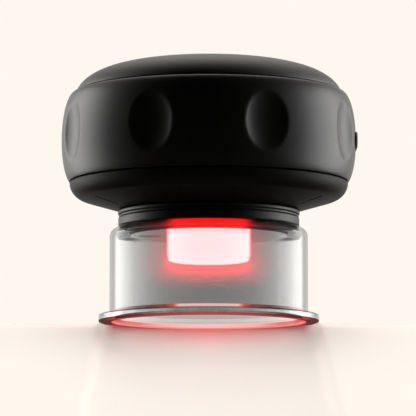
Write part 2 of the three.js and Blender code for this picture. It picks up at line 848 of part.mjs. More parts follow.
function controlBoard() {
  const holes = capPostBearings.map((bearing) => movedTo(
    rod(screwHoleR, -overrun, controlBoardT + overrun),
    around(capPostRingR, bearing, controlBoardZ),
  ));
  const board = movedTo(rod(controlBoardR, 0, controlBoardT, midTurn), place(0, 0, controlBoardZ));
  return cut(board, ...holes);
}

// A saddle under a round body that lies along X
function saddle(x, y, z, radius) {
  const halfWidth = (radius * saddleWidthShare) / 2;
  const base = block(x - saddleL / 2, y - halfWidth, trayTop - trayT / 2,
    x + saddleL / 2, y + halfWidth, trayTop + saddleRise);
  const bed = alongX(rod(radius + seat, x - saddleL, x + saddleL, midTurn), y, z);
  return cut(base, bed);
}

// Tray: a round plate with saddles for the motor and the battery and posts for the socket board
function innerTray() {
  const plate = movedTo(rod(trayR, 0, trayT, largeTurn), place(0, 0, trayZ));
  const saddles = [
    saddle(motorSaddleX, pumpY, pumpZ, motorR),
    saddle(-batterySaddleX, batteryY, batteryZ, batteryR),
    saddle(batterySaddleX, batteryY, batteryZ, batteryR),
  ];
  const clip = block(sideBoardX - seat - sideClipT, -sideBoardW / 3, trayTop - trayT / 2,
    sideBoardX - seat, sideBoardW / 3, trayTop + sideClipH);
  const posts = [-1, 1].map((side) => movedTo(
    rod(socketPostR, trayT / 2, trayT + socketBoardRise - seat),
    place((side * socketBoardW) / 3, socketBoardBackY + socketPostR, trayZ),
  ));
  const screwHoles = trayPostBearings.map((bearing) => movedTo(
    rod(screwHoleR, -overrun, trayT + overrun),
    around(trayPostRingR, bearing, trayZ),
  ));
  const wireHole = movedTo(rod(trayWireR, -overrun, trayT + overrun), place(0, portY, trayZ));
  const hoseHole = movedTo(rod(trayHoseR, -overrun, trayT + overrun), place(portX, portY, trayZ));
  return cut(join(plate, ...saddles, clip, ...posts), ...screwHoles, wireHole, hoseHole);
}

// A strap bent over a round body, with both legs down to the tray
function strapOver(x, y, z, radius) {
  const inner = radius + seat;
  const outer = inner + strapT;
  const foot = trayTop + seat - z;
  const ring = [];
  const half = midTurn / 2;
  for (let i = 0; i <= half; i += 1) {
    const angle = (Math.PI * i) / half;
    ring.push(point(outer * Math.cos(angle), outer * Math.sin(angle)));
  }
  ring.push(point(-outer, foot), point(-inner, foot));
  for (let i = half; i >= 0; i -= 1) {
    const angle = (Math.PI * i) / half;
    ring.push(point(inner * Math.cos(angle), inner * Math.sin(angle)));
  }
  ring.push(point(inner, foot), point(outer, foot));
  const options = { depth: strapW, bevelEnabled: false };
  const geometry = new THREE.ExtrudeGeometry(new THREE.Shape(ring), options);
  return closed(geometry.rotateX(Math.PI / 2).rotateZ(Math.PI / 2).translate(x - strapW / 2, y, z));
}

function pumpMotor() {
  const outline = [
    point(0, motorFrontX + motorBoreL), point(motorBoreR, motorFrontX + motorBoreL),
    point(motorBoreR, motorFrontX), point(motorR - overrun, motorFrontX),
    point(motorR, motorFrontX + overrun), point(motorR, motorRearX - overrun),
    point(motorR - overrun, motorRearX), point(0, motorRearX),
  ];
  return alongX(turned(outline, midTurn), pumpY, pumpZ);
}

function pumpHead() {
  const outline = [
    point(pumpNeckR, pumpHeadX), point(pumpHeadR, pumpHeadX),
    point(pumpHeadR, pumpHeadX - pumpHeadL), point(pumpChamberR, pumpHeadX - pumpHeadL),
    point(pumpChamberR, pumpHeadX - pumpHeadL + pumpChamberL),
    point(pumpNeckR, pumpHeadX - pumpHeadL + pumpChamberL),
  ];
  return alongX(turned(outline, midTurn), pumpY, pumpZ);
}

function pumpDiaphragm() {
  const disc = alongX(rod(diaphragmR, diaphragmX - diaphragmT, diaphragmX, midTurn), pumpY, pumpZ);
  const cups = [];
  for (let i = 0; i < diaphragmCupCount; i += 1) {
    const angle = (2 * Math.PI * i) / diaphragmCupCount;
    const cup = rod(diaphragmCupR, diaphragmX - diaphragmT / 2, diaphragmX + diaphragmCupL);
    cups.push(alongX(cup, pumpY + diaphragmCupRingR * Math.sin(angle),
      pumpZ + diaphragmCupRingR * Math.cos(angle)));
  }
  return join(disc, ...cups);
}

function pumpCover() {
  const cover = alongX(rod(pumpHeadR, pumpEndX, pumpCoverX, midTurn), pumpY, pumpZ);
  const nipples = [inletZ, outletZ].map((z) => (
    alongX(rod(nippleR, pumpEndX - nippleH, pumpCoverX - pumpCoverL / 2), pumpY, z)
  ));
  const bores = [inletZ, outletZ].map((z) => (
    alongX(rod(nippleBoreR, pumpEndX - nippleH - overrun, pumpCoverX - pumpCoverL / 2), pumpY, z)
  ));
  return cut(join(cover, ...nipples), ...bores);
}

// Pump rotor: the motor's shaft with an eccentric disc in the pump head
function pumpRotor() {
  const shaftFrom = diaphragmX + diaphragmCupL + shaftGap;
  const shaft = rod(shaftR, shaftFrom, motorFrontX + motorBoreL - seat);
  const disc = rod(eccentricR, shaftFrom + overrun, shaftFrom + overrun + eccentricL, midTurn)
    .translate(eccentricOffset, 0, 0);
  return alongX(join(shaft, disc), pumpY, pumpZ);
}

function batteryCell() {
  const half = batteryL / 2;
  const outline = [
    point(0, -half), point(batteryR, -half), point(batteryR, half - batteryNubL),
    point(batteryNubR, half - batteryNubL), point(batteryNubR, half), point(0, half),
  ];
  return alongX(turned(outline, midTurn), batteryY, batteryZ);
}

// Release valve: a block with a well for its plunger, a port to the cup and a port to the pump
function valveBody() {
  const body = block(valveX - valveW / 2, valveY - valveD / 2, valveZ,
    valveX + valveW / 2, valveY + valveD / 2, valveTop);
  const well = movedTo(rod(valveWellR, valveH - valveWellH, valveH + overrun, midTurn / 2),
    place(valveX, valveY, valveZ));
  const guide = movedTo(rod(plungerR + slip, valveTop - valveWellH - plungerL + plungerHeadH, valveTop),
    place(valveX, valveY, 0));
  const cupPort = alongX(rod(nippleR, valveX + valveW / 3, valveX + valveW / 2 + nippleH),
    valveY, valvePortZ);
  const pumpPort = rod(nippleR, valveD / 3, valveD / 2 + nippleH).rotateX(Math.PI / 2)
    .translate(valveX, valveY, inletZ);
  return cut(join(body, cupPort, pumpPort), well, guide);
}

function valvePlunger() {
  const headTop = valveTop + valveTravel + plungerHeadH;
  const outline = [
    point(0, headTop - plungerL), point(plungerR, headTop - plungerL),
    point(plungerR, headTop - plungerHeadH), point(plungerHeadR, headTop - plungerHeadH),
    point(plungerHeadR, headTop), point(0, headTop),
  ];
  return movedTo(turned(outline, smallTurn), place(valveX, valveY, 0));
}

class Helix extends THREE.Curve {
  constructor(radius, turns, from, to) {
    super();
    Object.assign(this, { radius, turns, from, to });
  }

  getPoint(t, target = new THREE.Vector3()) {
    const angle = 2 * Math.PI * this.turns * t;
    return target.set(this.radius * Math.cos(angle), this.radius * Math.sin(angle),
      this.from + (this.to - this.from) * t);
  }
}

// Spring between the floor of the valve's well and the plunger's head
function valveSpring() {
  const from = valveTop - valveWellH + springWireR + slip;
  const to = valveTop + valveTravel - springWireR - slip;
  const gap = (to - from) / springTurns - 2 * springWireR;
  console.log(`valve spring: gap between turns ${gap.toFixed(2)} mm`);
  const extrudePath = new Helix(springR, springTurns, from, to);
  const shape = new THREE.Shape(circle(springWireR, springSides));
  const steps = springTurns * springStepsPerTurn;
  const geometry = new THREE.ExtrudeGeometry(shape, { steps, bevelEnabled: false, extrudePath });
  return closed(geometry).translate(valveX, valveY, 0);
}

// Charging socket: a flat metal mouth with a tongue inside
function chargingSocket() {
  const low = socketZ - socketH / 2;
  const high = socketZ + socketH / 2;
  const back = socketMouthY - socketL;
  const shell = block(-socketW / 2, back, low, socketW / 2, socketMouthY, high);
  const mouth = block(-socketW / 2 + socketWall, back + socketWall, low + socketWall,
    socketW / 2 - socketWall, socketMouthY + overrun, high - socketWall);
  const tongue = block(-socketW / 3, back + socketWall / 2, socketZ - socketTongueH / 2,
    socketW / 3, socketMouthY - socketL / 4, socketZ + socketTongueH / 2);
  return join(cut(shell, mouth), tongue);
}

function socketBoard() {
  return block(-socketBoardW / 2, socketBoardBackY, socketBoardZ,
    socketBoardW / 2, socketBoardBackY + socketBoardL, socketBoardZ + socketBoardT);
}

// Places along straight runs between corners, with each corner rounded by an arc
function bent(corners, radius) {
  const places = [corners[0]];
  for (let i = 1; i < corners.length - 1; i += 1) {
    const back = corners[i - 1].clone().sub(corners[i]).normalize();
    const ahead = corners[i + 1].clone().sub(corners[i]).normalize();
    const half = back.angleTo(ahead) / 2;
    const reach = radius / Math.tan(half);
    const center = back.clone().add(ahead).normalize().multiplyScalar(radius / Math.sin(half));
    const from = back.clone().multiplyScalar(reach).sub(center);
    const to = ahead.clone().multiplyScalar(reach).sub(center);
    for (let k = 0; k <= arcSteps; k += 1) {
      const spoke = from.clone().lerp(to, k / arcSteps).normalize().multiplyScalar(radius);
      places.push(corners[i].clone().add(center).add(spoke));
    }
  }
  places.push(corners.at(-1));
  return places;
}

// Hose from the plug's nipple up through the tray to the valve
function cupHose() {
  const end = valveX + valveW / 2 + seat;
  const corners = [
    place(portX, portY, plugFloorTop + seat), place(portX, portY, valvePortZ),
    place(end, valveY, valvePortZ),
  ];
  const bendR = Math.min(hoseBendR, Math.abs(end - portX));
  return swept(bent(corners, bendR), hoseR, hoseBoreR, hoseSides, hoseSteps + arcSteps);
}

// Hose from the valve round to the pump's inlet
function pumpHose() {
  const start = valveY - valveD / 2 - seat;
  const corners = [
    place(valveX, start, inletZ), place(valveX, pumpY, inletZ),
    place(pumpEndX - seat, pumpY, inletZ),
  ];
  const bendR = Math.min(hoseBendR, start - pumpY);
  return swept(bent(corners, bendR), hoseR, hoseBoreR, hoseSides, hoseSteps);
}

// A flat lead of two round cores that meet at a narrow waist
function lead(places) {
  const core = wireR * Math.cos(leadWaist);
  const shape = new THREE.Shape();
  shape.absarc(core, 0, wireR, leadWaist - Math.PI, Math.PI - leadWaist, false);
  shape.absarc(-core, 0, wireR, leadWaist, 2 * Math.PI - leadWaist, false);
  const extrudePath = new THREE.CatmullRomCurve3(places);
  const options = { steps: wireSteps, curveSegments: wireSides / 2, bevelEnabled: false, extrudePath };
  return closed(new THREE.ExtrudeGeometry(shape, options));
}

// Lead from the lamp board up through the neck and the tray to the control board
function lampLead() {
  const from = ledBoardZ + ledBoardT + slip;
  const to = controlBoardZ - slip;
  return lead([
    place(0, portY, from), place(0, portY, trayZ), place(0, portY, trayTop + trayPostR),
    place(0, portY, to),
  ]);
}

// Lead from the end face of the motor or the battery, out and up to the control board
function endLead(x, y, z) {
  const to = controlBoardZ - slip;
  const bend = (to - z) * leadBendShare;
  return lead([
    place(x + slip, y, z), place(x + bend / 2, y, z + bend / 6), place(x + bend, y, z + bend),
    place(x + bend, y, to - bend), place(x + bend, y, to),
  ]);
}

addPiece('clear_cup', clearCup(), 0xdfe3e4, 0.08);
addPiece('neck_housing', neckHousing(), shellBlack, 0.35);
addPiece('plug_seal', plugSeal(), rubberGrey, 0.7);
addPiece('suction_filter', suctionFilter(), partWhite, 0.9);
addPiece('lamp_window', lampWindow(), 0xffd8d6, 0.4);
addPiece('lamp_board', lampBoard(), boardGreen, 0.5);
for (let i = 0; i <= ledCount; i += 1) {
  const ringR = i < ledCount ? ledRingR : 0;
  const where = around(ringR, (360 * i) / ledCount, ledBoardZ - slip - ledH);
  addPiece(`lamp_led_${i + 1}`, lampLed(where), 0xff2a2a, 0.3);
}
addScrews('lamp_screw', lampScrewBearings, lampScrewRingR, ledBoardZ + ledBoardT + slip, lampScrewL);
addPiece('bottom_housing', bottomHousing(), shellBlack, 0.4);
addScrews('neck_screw', neckScrewBearings, neckScrewRingR, dishFloorTop + slip, screwL);
addPiece('grip_ring', gripRing(), shellBlack, 0.45);
addPiece('side_button', sideButton(), innerBlack, 0.5);
addPiece('side_board', sideBoard(), boardGreen, 0.5);
addPiece('side_switch', sideSwitch(), innerBlack, 0.4);
addPiece('top_cap', topCap(), shellBlack, 0.3);
addPiece('display_window', displayWindow(), 0x0c0c0e, 0.1);
addPiece('display_module', displayModule(), innerBlack, 0.5);
keys.forEach((key) => {
  addPiece(key.name, pushKey(key), innerBlack, 0.5);
  addPiece(key.switchName, keySwitch(key), innerBlack, 0.4);
});
addPiece('control_board', controlBoard(), boardGreen, 0.5);
addScrews('board_screw', capPostBearings, capPostRingR, controlBoardZ - slip, screwL, true);
addPiece('inner_tray', innerTray(), partWhite, 0.6);
addScrews('tray_screw', trayPostBearings, trayPostRingR, trayTop + slip, screwL);
addPiece('pump_motor', pumpMotor(), steel, 0.3, 1);
addPiece('pump_head', pumpHead(), innerBlack, 0.5);
addPiece('pump_diaphragm', pumpDiaphragm(), rubberGrey, 0.8);
addPiece('pump_cover', pumpCover(), innerBlack, 0.5);
addPiece('pump_rotor', pumpRotor(), steel, 0.3, 1);
addPiece('motor_strap', strapOver(motorStrapX, pumpY, pumpZ, motorR), steel, 0.35, 1);
addPiece('battery_cell', batteryCell(), 0x2f5d8a, 0.4);
addPiece('battery_strap', strapOver(batteryStrapX, batteryY, batteryZ, batteryR), steel, 0.35, 1);
addPiece('valve_body', valveBody(), partWhite, 0.5);
addPiece('valve_plunger', valvePlunger(), steel, 0.3, 1);
addPiece('valve_spring', valveSpring(), steel, 0.3, 1);
addPiece('charging_socket', chargingSocket(), steel, 0.3, 1);
addPiece('socket_board', socketBoard(), boardGreen, 0.5);
addPiece('cup_hose', cupHose(), 0xd9d6cf, 0.5);
addPiece('pump_hose', pumpHose(), 0xd9d6cf, 0.5);
addPiece('lamp_lead', lampLead(), 0xb33a32, 0.6);
addPiece('motor_lead', endLead(motorRearX, pumpY, pumpZ), 0xb33a32, 0.6);
addPiece('battery_lead', endLead(batteryL / 2, batteryY, batteryZ), 0xb33a32, 0.6);

export default massager;
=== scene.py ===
import json
import math
import bpy
import bmesh
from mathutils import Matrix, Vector


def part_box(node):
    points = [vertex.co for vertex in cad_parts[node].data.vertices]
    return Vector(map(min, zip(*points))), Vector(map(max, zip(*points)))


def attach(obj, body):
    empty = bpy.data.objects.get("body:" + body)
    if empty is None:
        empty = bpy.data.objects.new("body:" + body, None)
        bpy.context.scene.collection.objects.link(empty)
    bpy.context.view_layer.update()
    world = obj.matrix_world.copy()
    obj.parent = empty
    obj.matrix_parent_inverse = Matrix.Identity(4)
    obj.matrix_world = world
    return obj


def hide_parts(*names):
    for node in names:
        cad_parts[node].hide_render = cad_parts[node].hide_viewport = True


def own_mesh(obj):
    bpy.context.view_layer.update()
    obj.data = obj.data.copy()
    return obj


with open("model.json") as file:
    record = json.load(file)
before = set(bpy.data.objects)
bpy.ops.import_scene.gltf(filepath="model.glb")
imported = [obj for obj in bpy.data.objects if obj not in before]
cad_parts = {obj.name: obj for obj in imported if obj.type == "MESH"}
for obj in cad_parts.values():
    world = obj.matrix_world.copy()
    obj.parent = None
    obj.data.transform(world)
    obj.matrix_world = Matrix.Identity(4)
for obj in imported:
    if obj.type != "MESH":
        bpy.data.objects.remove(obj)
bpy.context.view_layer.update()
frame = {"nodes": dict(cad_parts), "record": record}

mm = 0.001
nodes = frame["nodes"]
scene = bpy.context.scene
print("frame loaded:", len(nodes), "nodes")


# an arc in place of the corner at here
def cornerArc(before, here, after, radius, steps):
    back, ahead = (before - here).normalized(), (after - here).normalized()
    half = back.angle(ahead) / 2
    centre = here + (back + ahead).normalized() * (radius / math.sin(half))
    reach = radius / math.tan(half)
    first, last = here + back * reach - centre, here + ahead * reach - centre
    return [centre + first.lerp(last, k / steps).normalized() * radius for k in range(steps + 1)]


# outlines are (r, z) or (r, z, corner radius) in millimetres
def rounded(corners, steps=5):
    points = []
    for i, corner in enumerate(corners):
        before, here, after = [Vector(corners[k % len(corners)][:2]) for k in (i - 1, i, i + 1)]
        if len(corner) > 2:
            points += [tuple(point) for point in cornerArc(before, here, after, corner[2], steps)]
        else:
            points.append(tuple(here))
    return points


def arcPoints(r, z, wide, high, fromDegrees, toDegrees, steps):
    points = []
    for k in range(steps + 1):
        angle = math.radians(fromDegrees + (toDegrees - fromDegrees) * k / steps)
        points.append((r + wide * math.cos(angle), z + high * math.sin(angle)))
    return points


def shadeSmooth(mesh, sharpDegrees=32):
    mesh.shade_smooth()
    mesh.set_sharp_from_angle(angle=math.radians(sharpDegrees))


def meshObject(name, vertices, faces, sharpDegrees=32):
    mesh = bpy.data.meshes.new(name)
    mesh.from_pydata(vertices, [], faces)
    mesh.update()
    shadeSmooth(mesh, sharpDegrees)
    piece = bpy.data.objects.new(name, mesh)
    scene.collection.objects.link(piece)
    return piece


# a body turned round an upright axis; shape(r, z, angle) may move a ring's radius, and zoneAt(r, z)
# names a finish in the list of zones
def turnedBody(name, outline, turns=240, centre=(0, 0), shape=None, zoneAt=None, zones=()):
    points = list(outline)
    if sum(a[0] * b[1] - b[0] * a[1] for a, b in zip(points, points[1:] + points[:1])) < 0:
        points.reverse()
    vertices, rings = [], []
    for r, z in points:
        start = len(vertices)
        if r < 1e-6:
            vertices.append((centre[0] * mm, centre[1] * mm, z * mm))
            rings.append([start] * turns)
            continue
        for k in range(turns):
            angle = 2 * math.pi * k / turns
            radius = shape(r, z, angle) if shape else r
            vertices.append(((centre[0] + radius * math.cos(angle)) * mm,
                             (centre[1] + radius * math.sin(angle)) * mm, z * mm))
        rings.append(list(range(start, start + turns)))
    faces, indices = [], []
    for i, ring in enumerate(rings):
        upper = rings[(i + 1) % len(rings)]
        if ring[0] == ring[1] and upper[0] == upper[1]:
            continue
        here, there = points[i], points[(i + 1) % len(points)]
        middle = (here[0] + there[0]) / 2, (here[1] + there[1]) / 2
        finish = zones.index(zoneAt(*middle)) if zoneAt else 0
        for k in range(turns):
            n = (k + 1) % turns
            faces.append(list(dict.fromkeys((ring[k], ring[n], upper[n], upper[k]))))
            indices.append(finish)
    piece = meshObject(name, vertices, faces)
    piece.data.polygons.foreach_set("material_index", indices)
    return piece


def roundCutter(name, radius, low, high, turns, centre=(0, 0)):
    return turnedBody(name, [(0, low), (radius, low), (radius, high), (0, high)], turns, centre)


# a body lofted between sections of equal point counts, with flat ends or closed on itself
def loftedBody(name, sections, closed=False, sharpDegrees=32):
    count, rows = len(sections[0]), len(sections)
    vertices = [tuple(c * mm for c in p) for section in sections for p in section]
    faces = [] if closed else [list(range(count))[::-1]]
    for i in range(rows if closed else rows - 1):
        low, high = i * count, (i + 1) % rows * count
        for k in range(count):
            n = (k + 1) % count
            faces.append([low + k, low + n, high + n, high + k])
    if not closed:
        faces.append([(rows - 1) * count + k for k in range(count)])
    piece = meshObject(name, vertices, faces, sharpDegrees)
    shell = bmesh.new()
    shell.from_mesh(piece.data)
    bmesh.ops.recalc_face_normals(shell, faces=shell.faces)
    shell.to_mesh(piece.data)
    shell.free()
    return piece


# a smooth path through points, cut into equal steps
def smoothPath(points, steps):
    path = []
    count = len(points)
    for i in range(count - 1):
        before = Vector(points[max(i - 1, 0)])
        first, second = Vector(points[i]), Vector(points[i + 1])
        after = Vector(points[min(i + 2, count - 1)])
        for k in range(steps):
            t = k / steps
            path.append(0.5 * ((2 * first) + (second - before) * t
                               + (2 * before - 5 * first + 4 * second - after) * t * t
                               + (3 * first - before - 3 * second + after) * t * t * t))
    path.append(Vector(points[-1]))
    return path


# straight runs with rounded bends
def bentPath(corners, radius, steps=8):
    places = [Vector(corner) for corner in corners]
    path = [places[0]]
    for before, here, after in zip(places, places[1:], places[2:]):
        path += cornerArc(before, here, after, radius, steps)
    return path + [places[-1]]


# a section (pairs across and along the side vector) swept along a path, with an optional bore
def sweptBody(name, path, section, bore=None, start=(0, 0, 1)):
    side = Vector(start)
    frames = []
    for i, place in enumerate(path):
        ahead = (path[min(i + 1, len(path) - 1)] - path[max(i - 1, 0)]).normalized()
        side = (side - ahead * side.dot(ahead)).normalized()
        frames.append((place, side.copy(), ahead.cross(side)))

    def rings(loop):
        return [[place + across * u + over * v for u, v in loop] for place, across, over in frames]

    return loftedBody(name, rings(section) + (rings(bore)[::-1] if bore else []), bool(bore), 40)


def circleLoop(radius, count):
    return [(radius * math.cos(2 * math.pi * k / count), radius * math.sin(2 * math.pi * k / count))
            for k in range(count)]


# bearings are in degrees from the front, -Y, towards +X
def bearingPlace(radius, bearing):
    angle = math.radians(bearing)
    return radius * math.sin(angle), -radius * math.cos(angle)


# cutters are used once and removed
def cutAway(piece, cutters):
    for cutter in cutters:
        change = piece.modifiers.new("cut", "BOOLEAN")
        change.operation = "DIFFERENCE"
        change.solver = "EXACT"
        change.object = cutter
    bpy.context.view_layer.update()
    shaped = bpy.data.meshes.new_from_object(piece.evaluated_get(bpy.context.evaluated_depsgraph_get()))
    piece.modifiers.clear()
    piece.data = shaped
    shadeSmooth(shaped)
    for cutter in cutters:
        bpy.data.objects.remove(cutter)


# a piece without a list of finishes gets its slot's
def dress(piece, body, slotName, *replaced, made=None):
    for finish in made or [finishes[slotName]]:
        piece.data.materials.append(finish)
    change = piece.modifiers.new("even shading", "WEIGHTED_NORMAL")
    change.keep_sharp = True
    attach(piece, body)
    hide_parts(*replaced)


# materials
def newFinish(name):
    material = bpy.data.materials.new(name)
    material.use_nodes = True
    tree = material.node_tree
    return material, tree, tree.nodes["Principled BSDF"]


# an input takes a plain value or another node's socket
def setInputs(tree, node, inputs):
    for key, value in inputs.items():
        if isinstance(value, bpy.types.NodeSocket):
            tree.links.new(value, node.inputs[key])
        else:
            node.inputs[key].default_value = value


def addNode(tree, kind, inputs=None, **settings):
    node = tree.nodes.new("ShaderNode" + kind)
    for key, value in settings.items():
        setattr(node, key, value)
    setInputs(tree, node, inputs or {})
    return node


def combined(tree, operation, first, second, clamp=False):
    return addNode(tree, "Math", {0: first, 1: second}, operation=operation, use_clamp=clamp).outputs[0]


def vectored(tree, operation, first, second=(0, 0, 0)):
    return addNode(tree, "VectorMath", {0: first, 1: second}, operation=operation).outputs


def mixedColour(tree, share, first, second, way="MIX"):
    inputs = {0: share, 6: first, 7: second}
    return addNode(tree, "Mix", inputs, data_type="RGBA", blend_type=way).outputs[2]


def multiplied(tree, first, second):
    return mixedColour(tree, 1.0, first, second, "MULTIPLY")


def mixed(tree, share, first, second):
    return addNode(tree, "MixShader", {0: share, 1: first, 2: second}).outputs[0]


def added(tree, first, second):
    return addNode(tree, "AddShader", {0: first, 1: second}).outputs[0]


def glowing(tree, colour, strength):
    return addNode(tree, "Emission", {"Color": (*colour, 1), "Strength": strength}).outputs[0]


def surfaceFrom(tree, shader):
    tree.links.new(shader, tree.nodes["Material Output"].inputs["Surface"])


def objectPlace(tree):
    return addNode(tree, "TexCoord").outputs["Object"]


def slantOf(tree, **inputs):
    return addNode(tree, "LayerWeight", {"Blend": 0.5, **inputs}).outputs["Facing"]


# shared by the finishes: detail, depth of the grain, and the levels of the noise that are used
noise = {"patchDetail": 4, "grainDetail": 2, "grainDepth": 0.0001, "middle": (0.3, 0.7), "toneFrom": 0.35,
         "toneTo": 0.65}


def noiseOn(tree, place, scale, detail=3):
    return addNode(tree, "TexNoise", {"Scale": scale, "Detail": detail, "Vector": place}).outputs["Fac"]


def mapped(tree, value, given, wanted, way="LINEAR"):
    inputs = {"Value": value, "From Min": given[0], "From Max": given[1],
              "To Min": wanted[0], "To Max": wanted[1]}
    return addNode(tree, "MapRange", inputs, interpolation_type=way).outputs["Result"]


# the middle of a noise, spread between two levels
def spread(tree, value, levels):
    return mapped(tree, value, noise["middle"], levels)


def ramped(tree, value, stops):
    ramp = addNode(tree, "ValToRGB", {"Fac": value})
    elements = ramp.color_ramp.elements
    while len(elements) < len(stops):
        elements.new(0.5)
    for element, (position, colour) in zip(elements, stops):
        element.position = position
        element.color = (*colour, 1)
    return ramp.outputs["Color"]


def stepped(tree, value, stops):
    return ramped(tree, value, [(position, (level,) * 3) for position, level in stops])


def twoTone(tree, value, first, share):
    return ramped(tree, value, ((noise["toneFrom"], first), (noise["toneTo"], [c * share for c in first])))


# mouldings, rubber and metal: broad patches of tone, and a fine grain in roughness and bump
def moulded(name, colour, grainScale, grainStrength, roughness, sockets=None, toneShift=0.86, patchScale=60):
    material, tree, shader = newFinish(name)
    place = objectPlace(tree)
    broad = noiseOn(tree, place, patchScale, noise["patchDetail"])
    grain = noiseOn(tree, place, grainScale, noise["grainDetail"])
    bump = addNode(tree, "Bump", {"Strength": grainStrength, "Distance": noise["grainDepth"],
                                  "Height": grain})
    setInputs(tree, shader, {
        "Base Color": twoTone(tree, broad, colour, toneShift), "Roughness": spread(tree, grain, roughness),
        "Normal": bump.outputs["Normal"], **(sockets or {})})
    return material


# each slot's name, colour, grain scale and strength, roughness from and to, shader settings, tone shift
# and patch scale
looks = {
    "shell_black": ("blackShell", (0.012, 0.0115, 0.011), 2600, 0.25, (0.36, 0.46),
                    {"Specular IOR Level": 0.5}),
    "cap_black": ("blackCap", (0.014, 0.013, 0.012), 3000, 0.3, (0.52, 0.6), {"Specular IOR Level": 1.0}),
    "key_black": ("blackKey", (0.022, 0.022, 0.022), 2200, 0.4, (0.5, 0.62), {"Specular IOR Level": 1.0}),
    "display_glass": ("blackGlass", (0.006, 0.006, 0.007), 300, 0.02, (0.05, 0.09),
                      {"Coat Weight": 0.6, "Coat Roughness": 0.04}),
    "dark_plastic": ("darkPlastic", (0.03, 0.03, 0.031), 1800, 0.3, (0.45, 0.6)),
    "white_plastic": ("whitePlastic", (0.74, 0.73, 0.7), 1600, 0.25, (0.42, 0.55), None, 0.94),
    "grey_rubber": ("greyRubber", (0.1, 0.1, 0.1), 2600, 0.5, (0.7, 0.85)),
    "silicone_hose": ("milkySilicone", (0.72, 0.71, 0.67), 900, 0.12, (0.35, 0.5),
                      {"Subsurface Weight": 0.3, "Subsurface Scale": 0.002}, 0.95),
    "red_lead": ("redLead", (0.42, 0.03, 0.025), 1500, 0.15, (0.4, 0.55)),
    "bright_steel": ("brightSteel", (0.62, 0.62, 0.63), 2400, 0.2, (0.24, 0.36), {"Metallic": 1.0}, 0.92),
    "motor_can": ("motorSteel", (0.58, 0.58, 0.59), 1500, 0.15, (0.28, 0.42), {"Metallic": 1.0}, 0.9),
    "battery_wrap": ("batteryWrap", (0.04, 0.13, 0.3), 500, 0.1, (0.25, 0.34), {"Coat Weight": 0.3}, 0.9),
    "circuit_board": ("circuitGreen", (0.02, 0.1, 0.05), 700, 0.3, (0.3, 0.45), None, 0.6, 420),
    "red_led": ("clearRed", (0.85, 0.04, 0.03), 900, 0.05, (0.12, 0.2),
                {"Emission Color": (1, 0.06, 0.05, 1), "Emission Strength": 2.0}),
}
finishes = {slotName: moulded(*look) for slotName, look in looks.items()}
blackDish = ((0.008, 0.0075, 0.007), 2600, 0.25, (0.42, 0.52))
dishFinish = moulded("blackDish", *blackDish, {"Specular IOR Level": 0.1})

# clear plastic: what passes, and the thin lines on the rim, go by its slant; the tint paints shade into what
# passes, and the thin lines are lamp light and highlights painted on as glows
clearPlastic = {"film": (0.02, 0.02, 0.02, 1), "index": 1.49, "cloudScale": 90, "roughness": (0.06, 0.1),
                "hue": (0.987, 1.0, 1.012), "gloss": 0.12, "blur": 0.15, "blurRoughness": 0.94, "bend": 1.19,
                "trueSlant": True, "inwardTint": None, "streaks": None, "streakScale": 260,
                "streakSquash": 0.15}


# the direction away from the upright axis
def outwardFrom(tree, place):
    return vectored(tree, "NORMALIZE", vectored(tree, "MULTIPLY", place, (1, 1, 0))[0])[0]


# tint is one level or stops by slant, painted shade in what passes; painted glows are (colour, stops by
# slant)
def clearFinish(name, tint, paintedGlows=(), changes=None):
    look = {**clearPlastic, **(changes or {})}
    material, tree, shader = newFinish(name)
    place = objectPlace(tree)
    cloud = noiseOn(tree, place, look["cloudScale"])
    setInputs(tree, shader, {"Base Color": look["film"], "IOR": look["index"],
                             "Roughness": spread(tree, cloud, look["roughness"])})
    around = slantOf(tree, Normal=outwardFrom(tree, place))
    if isinstance(tint, float):
        shade = (*[tint * c for c in look["hue"]], 1)
    else:
        slant = slantOf(tree) if look["trueSlant"] else around
        shade = multiplied(tree, stepped(tree, slant, tint), (*look["hue"], 1))
    # upright streaks in the tint, painted reflections on the rim's side
    if look["streaks"]:
        wide = vectored(tree, "MULTIPLY", place, (1, 1, look["streakSquash"]))[0]
        streaks = spread(tree, noiseOn(tree, wide, look["streakScale"]), look["streaks"])
        shade = multiplied(tree, shade, streaks)
    clear = addNode(tree, "BsdfTransparent", {"Color": shade}).outputs[0]
    blurred = addNode(tree, "BsdfRefraction", {"Color": shade, "Roughness": look["blurRoughness"],
                                               "IOR": look["bend"]}).outputs[0]
    sheen = addNode(tree, "MixShader", {0: look["gloss"], 2: shader.outputs[0]}).outputs[0]
    outer = added(tree, mixed(tree, look["blur"], clear, blurred), sheen)
    seen = addNode(tree, "LightPath").outputs["Is Camera Ray"]
    # painted light: each glow is emission by slant that only the camera sees
    for colour, stops in paintedGlows:
        strength = combined(tree, "MULTIPLY", stepped(tree, around, stops), seen)
        outer = added(tree, outer, glowing(tree, colour, strength))
    if look["inwardTint"]:
        clear = addNode(tree, "BsdfTransparent", {"Color": (*look["inwardTint"], 1)}).outputs[0]
    inside = addNode(tree, "NewGeometry").outputs["Backfacing"]
    surfaceFrom(tree, mixed(tree, inside, outer, clear))
    return material


# colours of painted light: the lamp's red and pinks painted as glows on the rim, its foot and the floor, and
# a pale painted highlight on the rim's side
paintedLampRed, paintedRimPink, paintedRimHighlight = (1.0, 0.012, 0.012), (1.0, 0.5, 0.52), (1.0, 0.99, 0.98)
paintedFootPink, paintedFootRed = (1.0, 0.1, 0.11), (1.0, 0.05, 0.05)
rimLook = {"trueSlant": False, "inwardTint": (0.9, 0.88, 0.88), "blur": 0.05}
# painted shade: the wall's tint by slant is grey face on and clear towards the edges, as light from the sides
# would shade it
wallTint = ((0.0, 0.664), (0.1, 0.7), (0.27, 0.805), (0.43, 0.895), (0.53, 0.965), (0.6, 1.0))
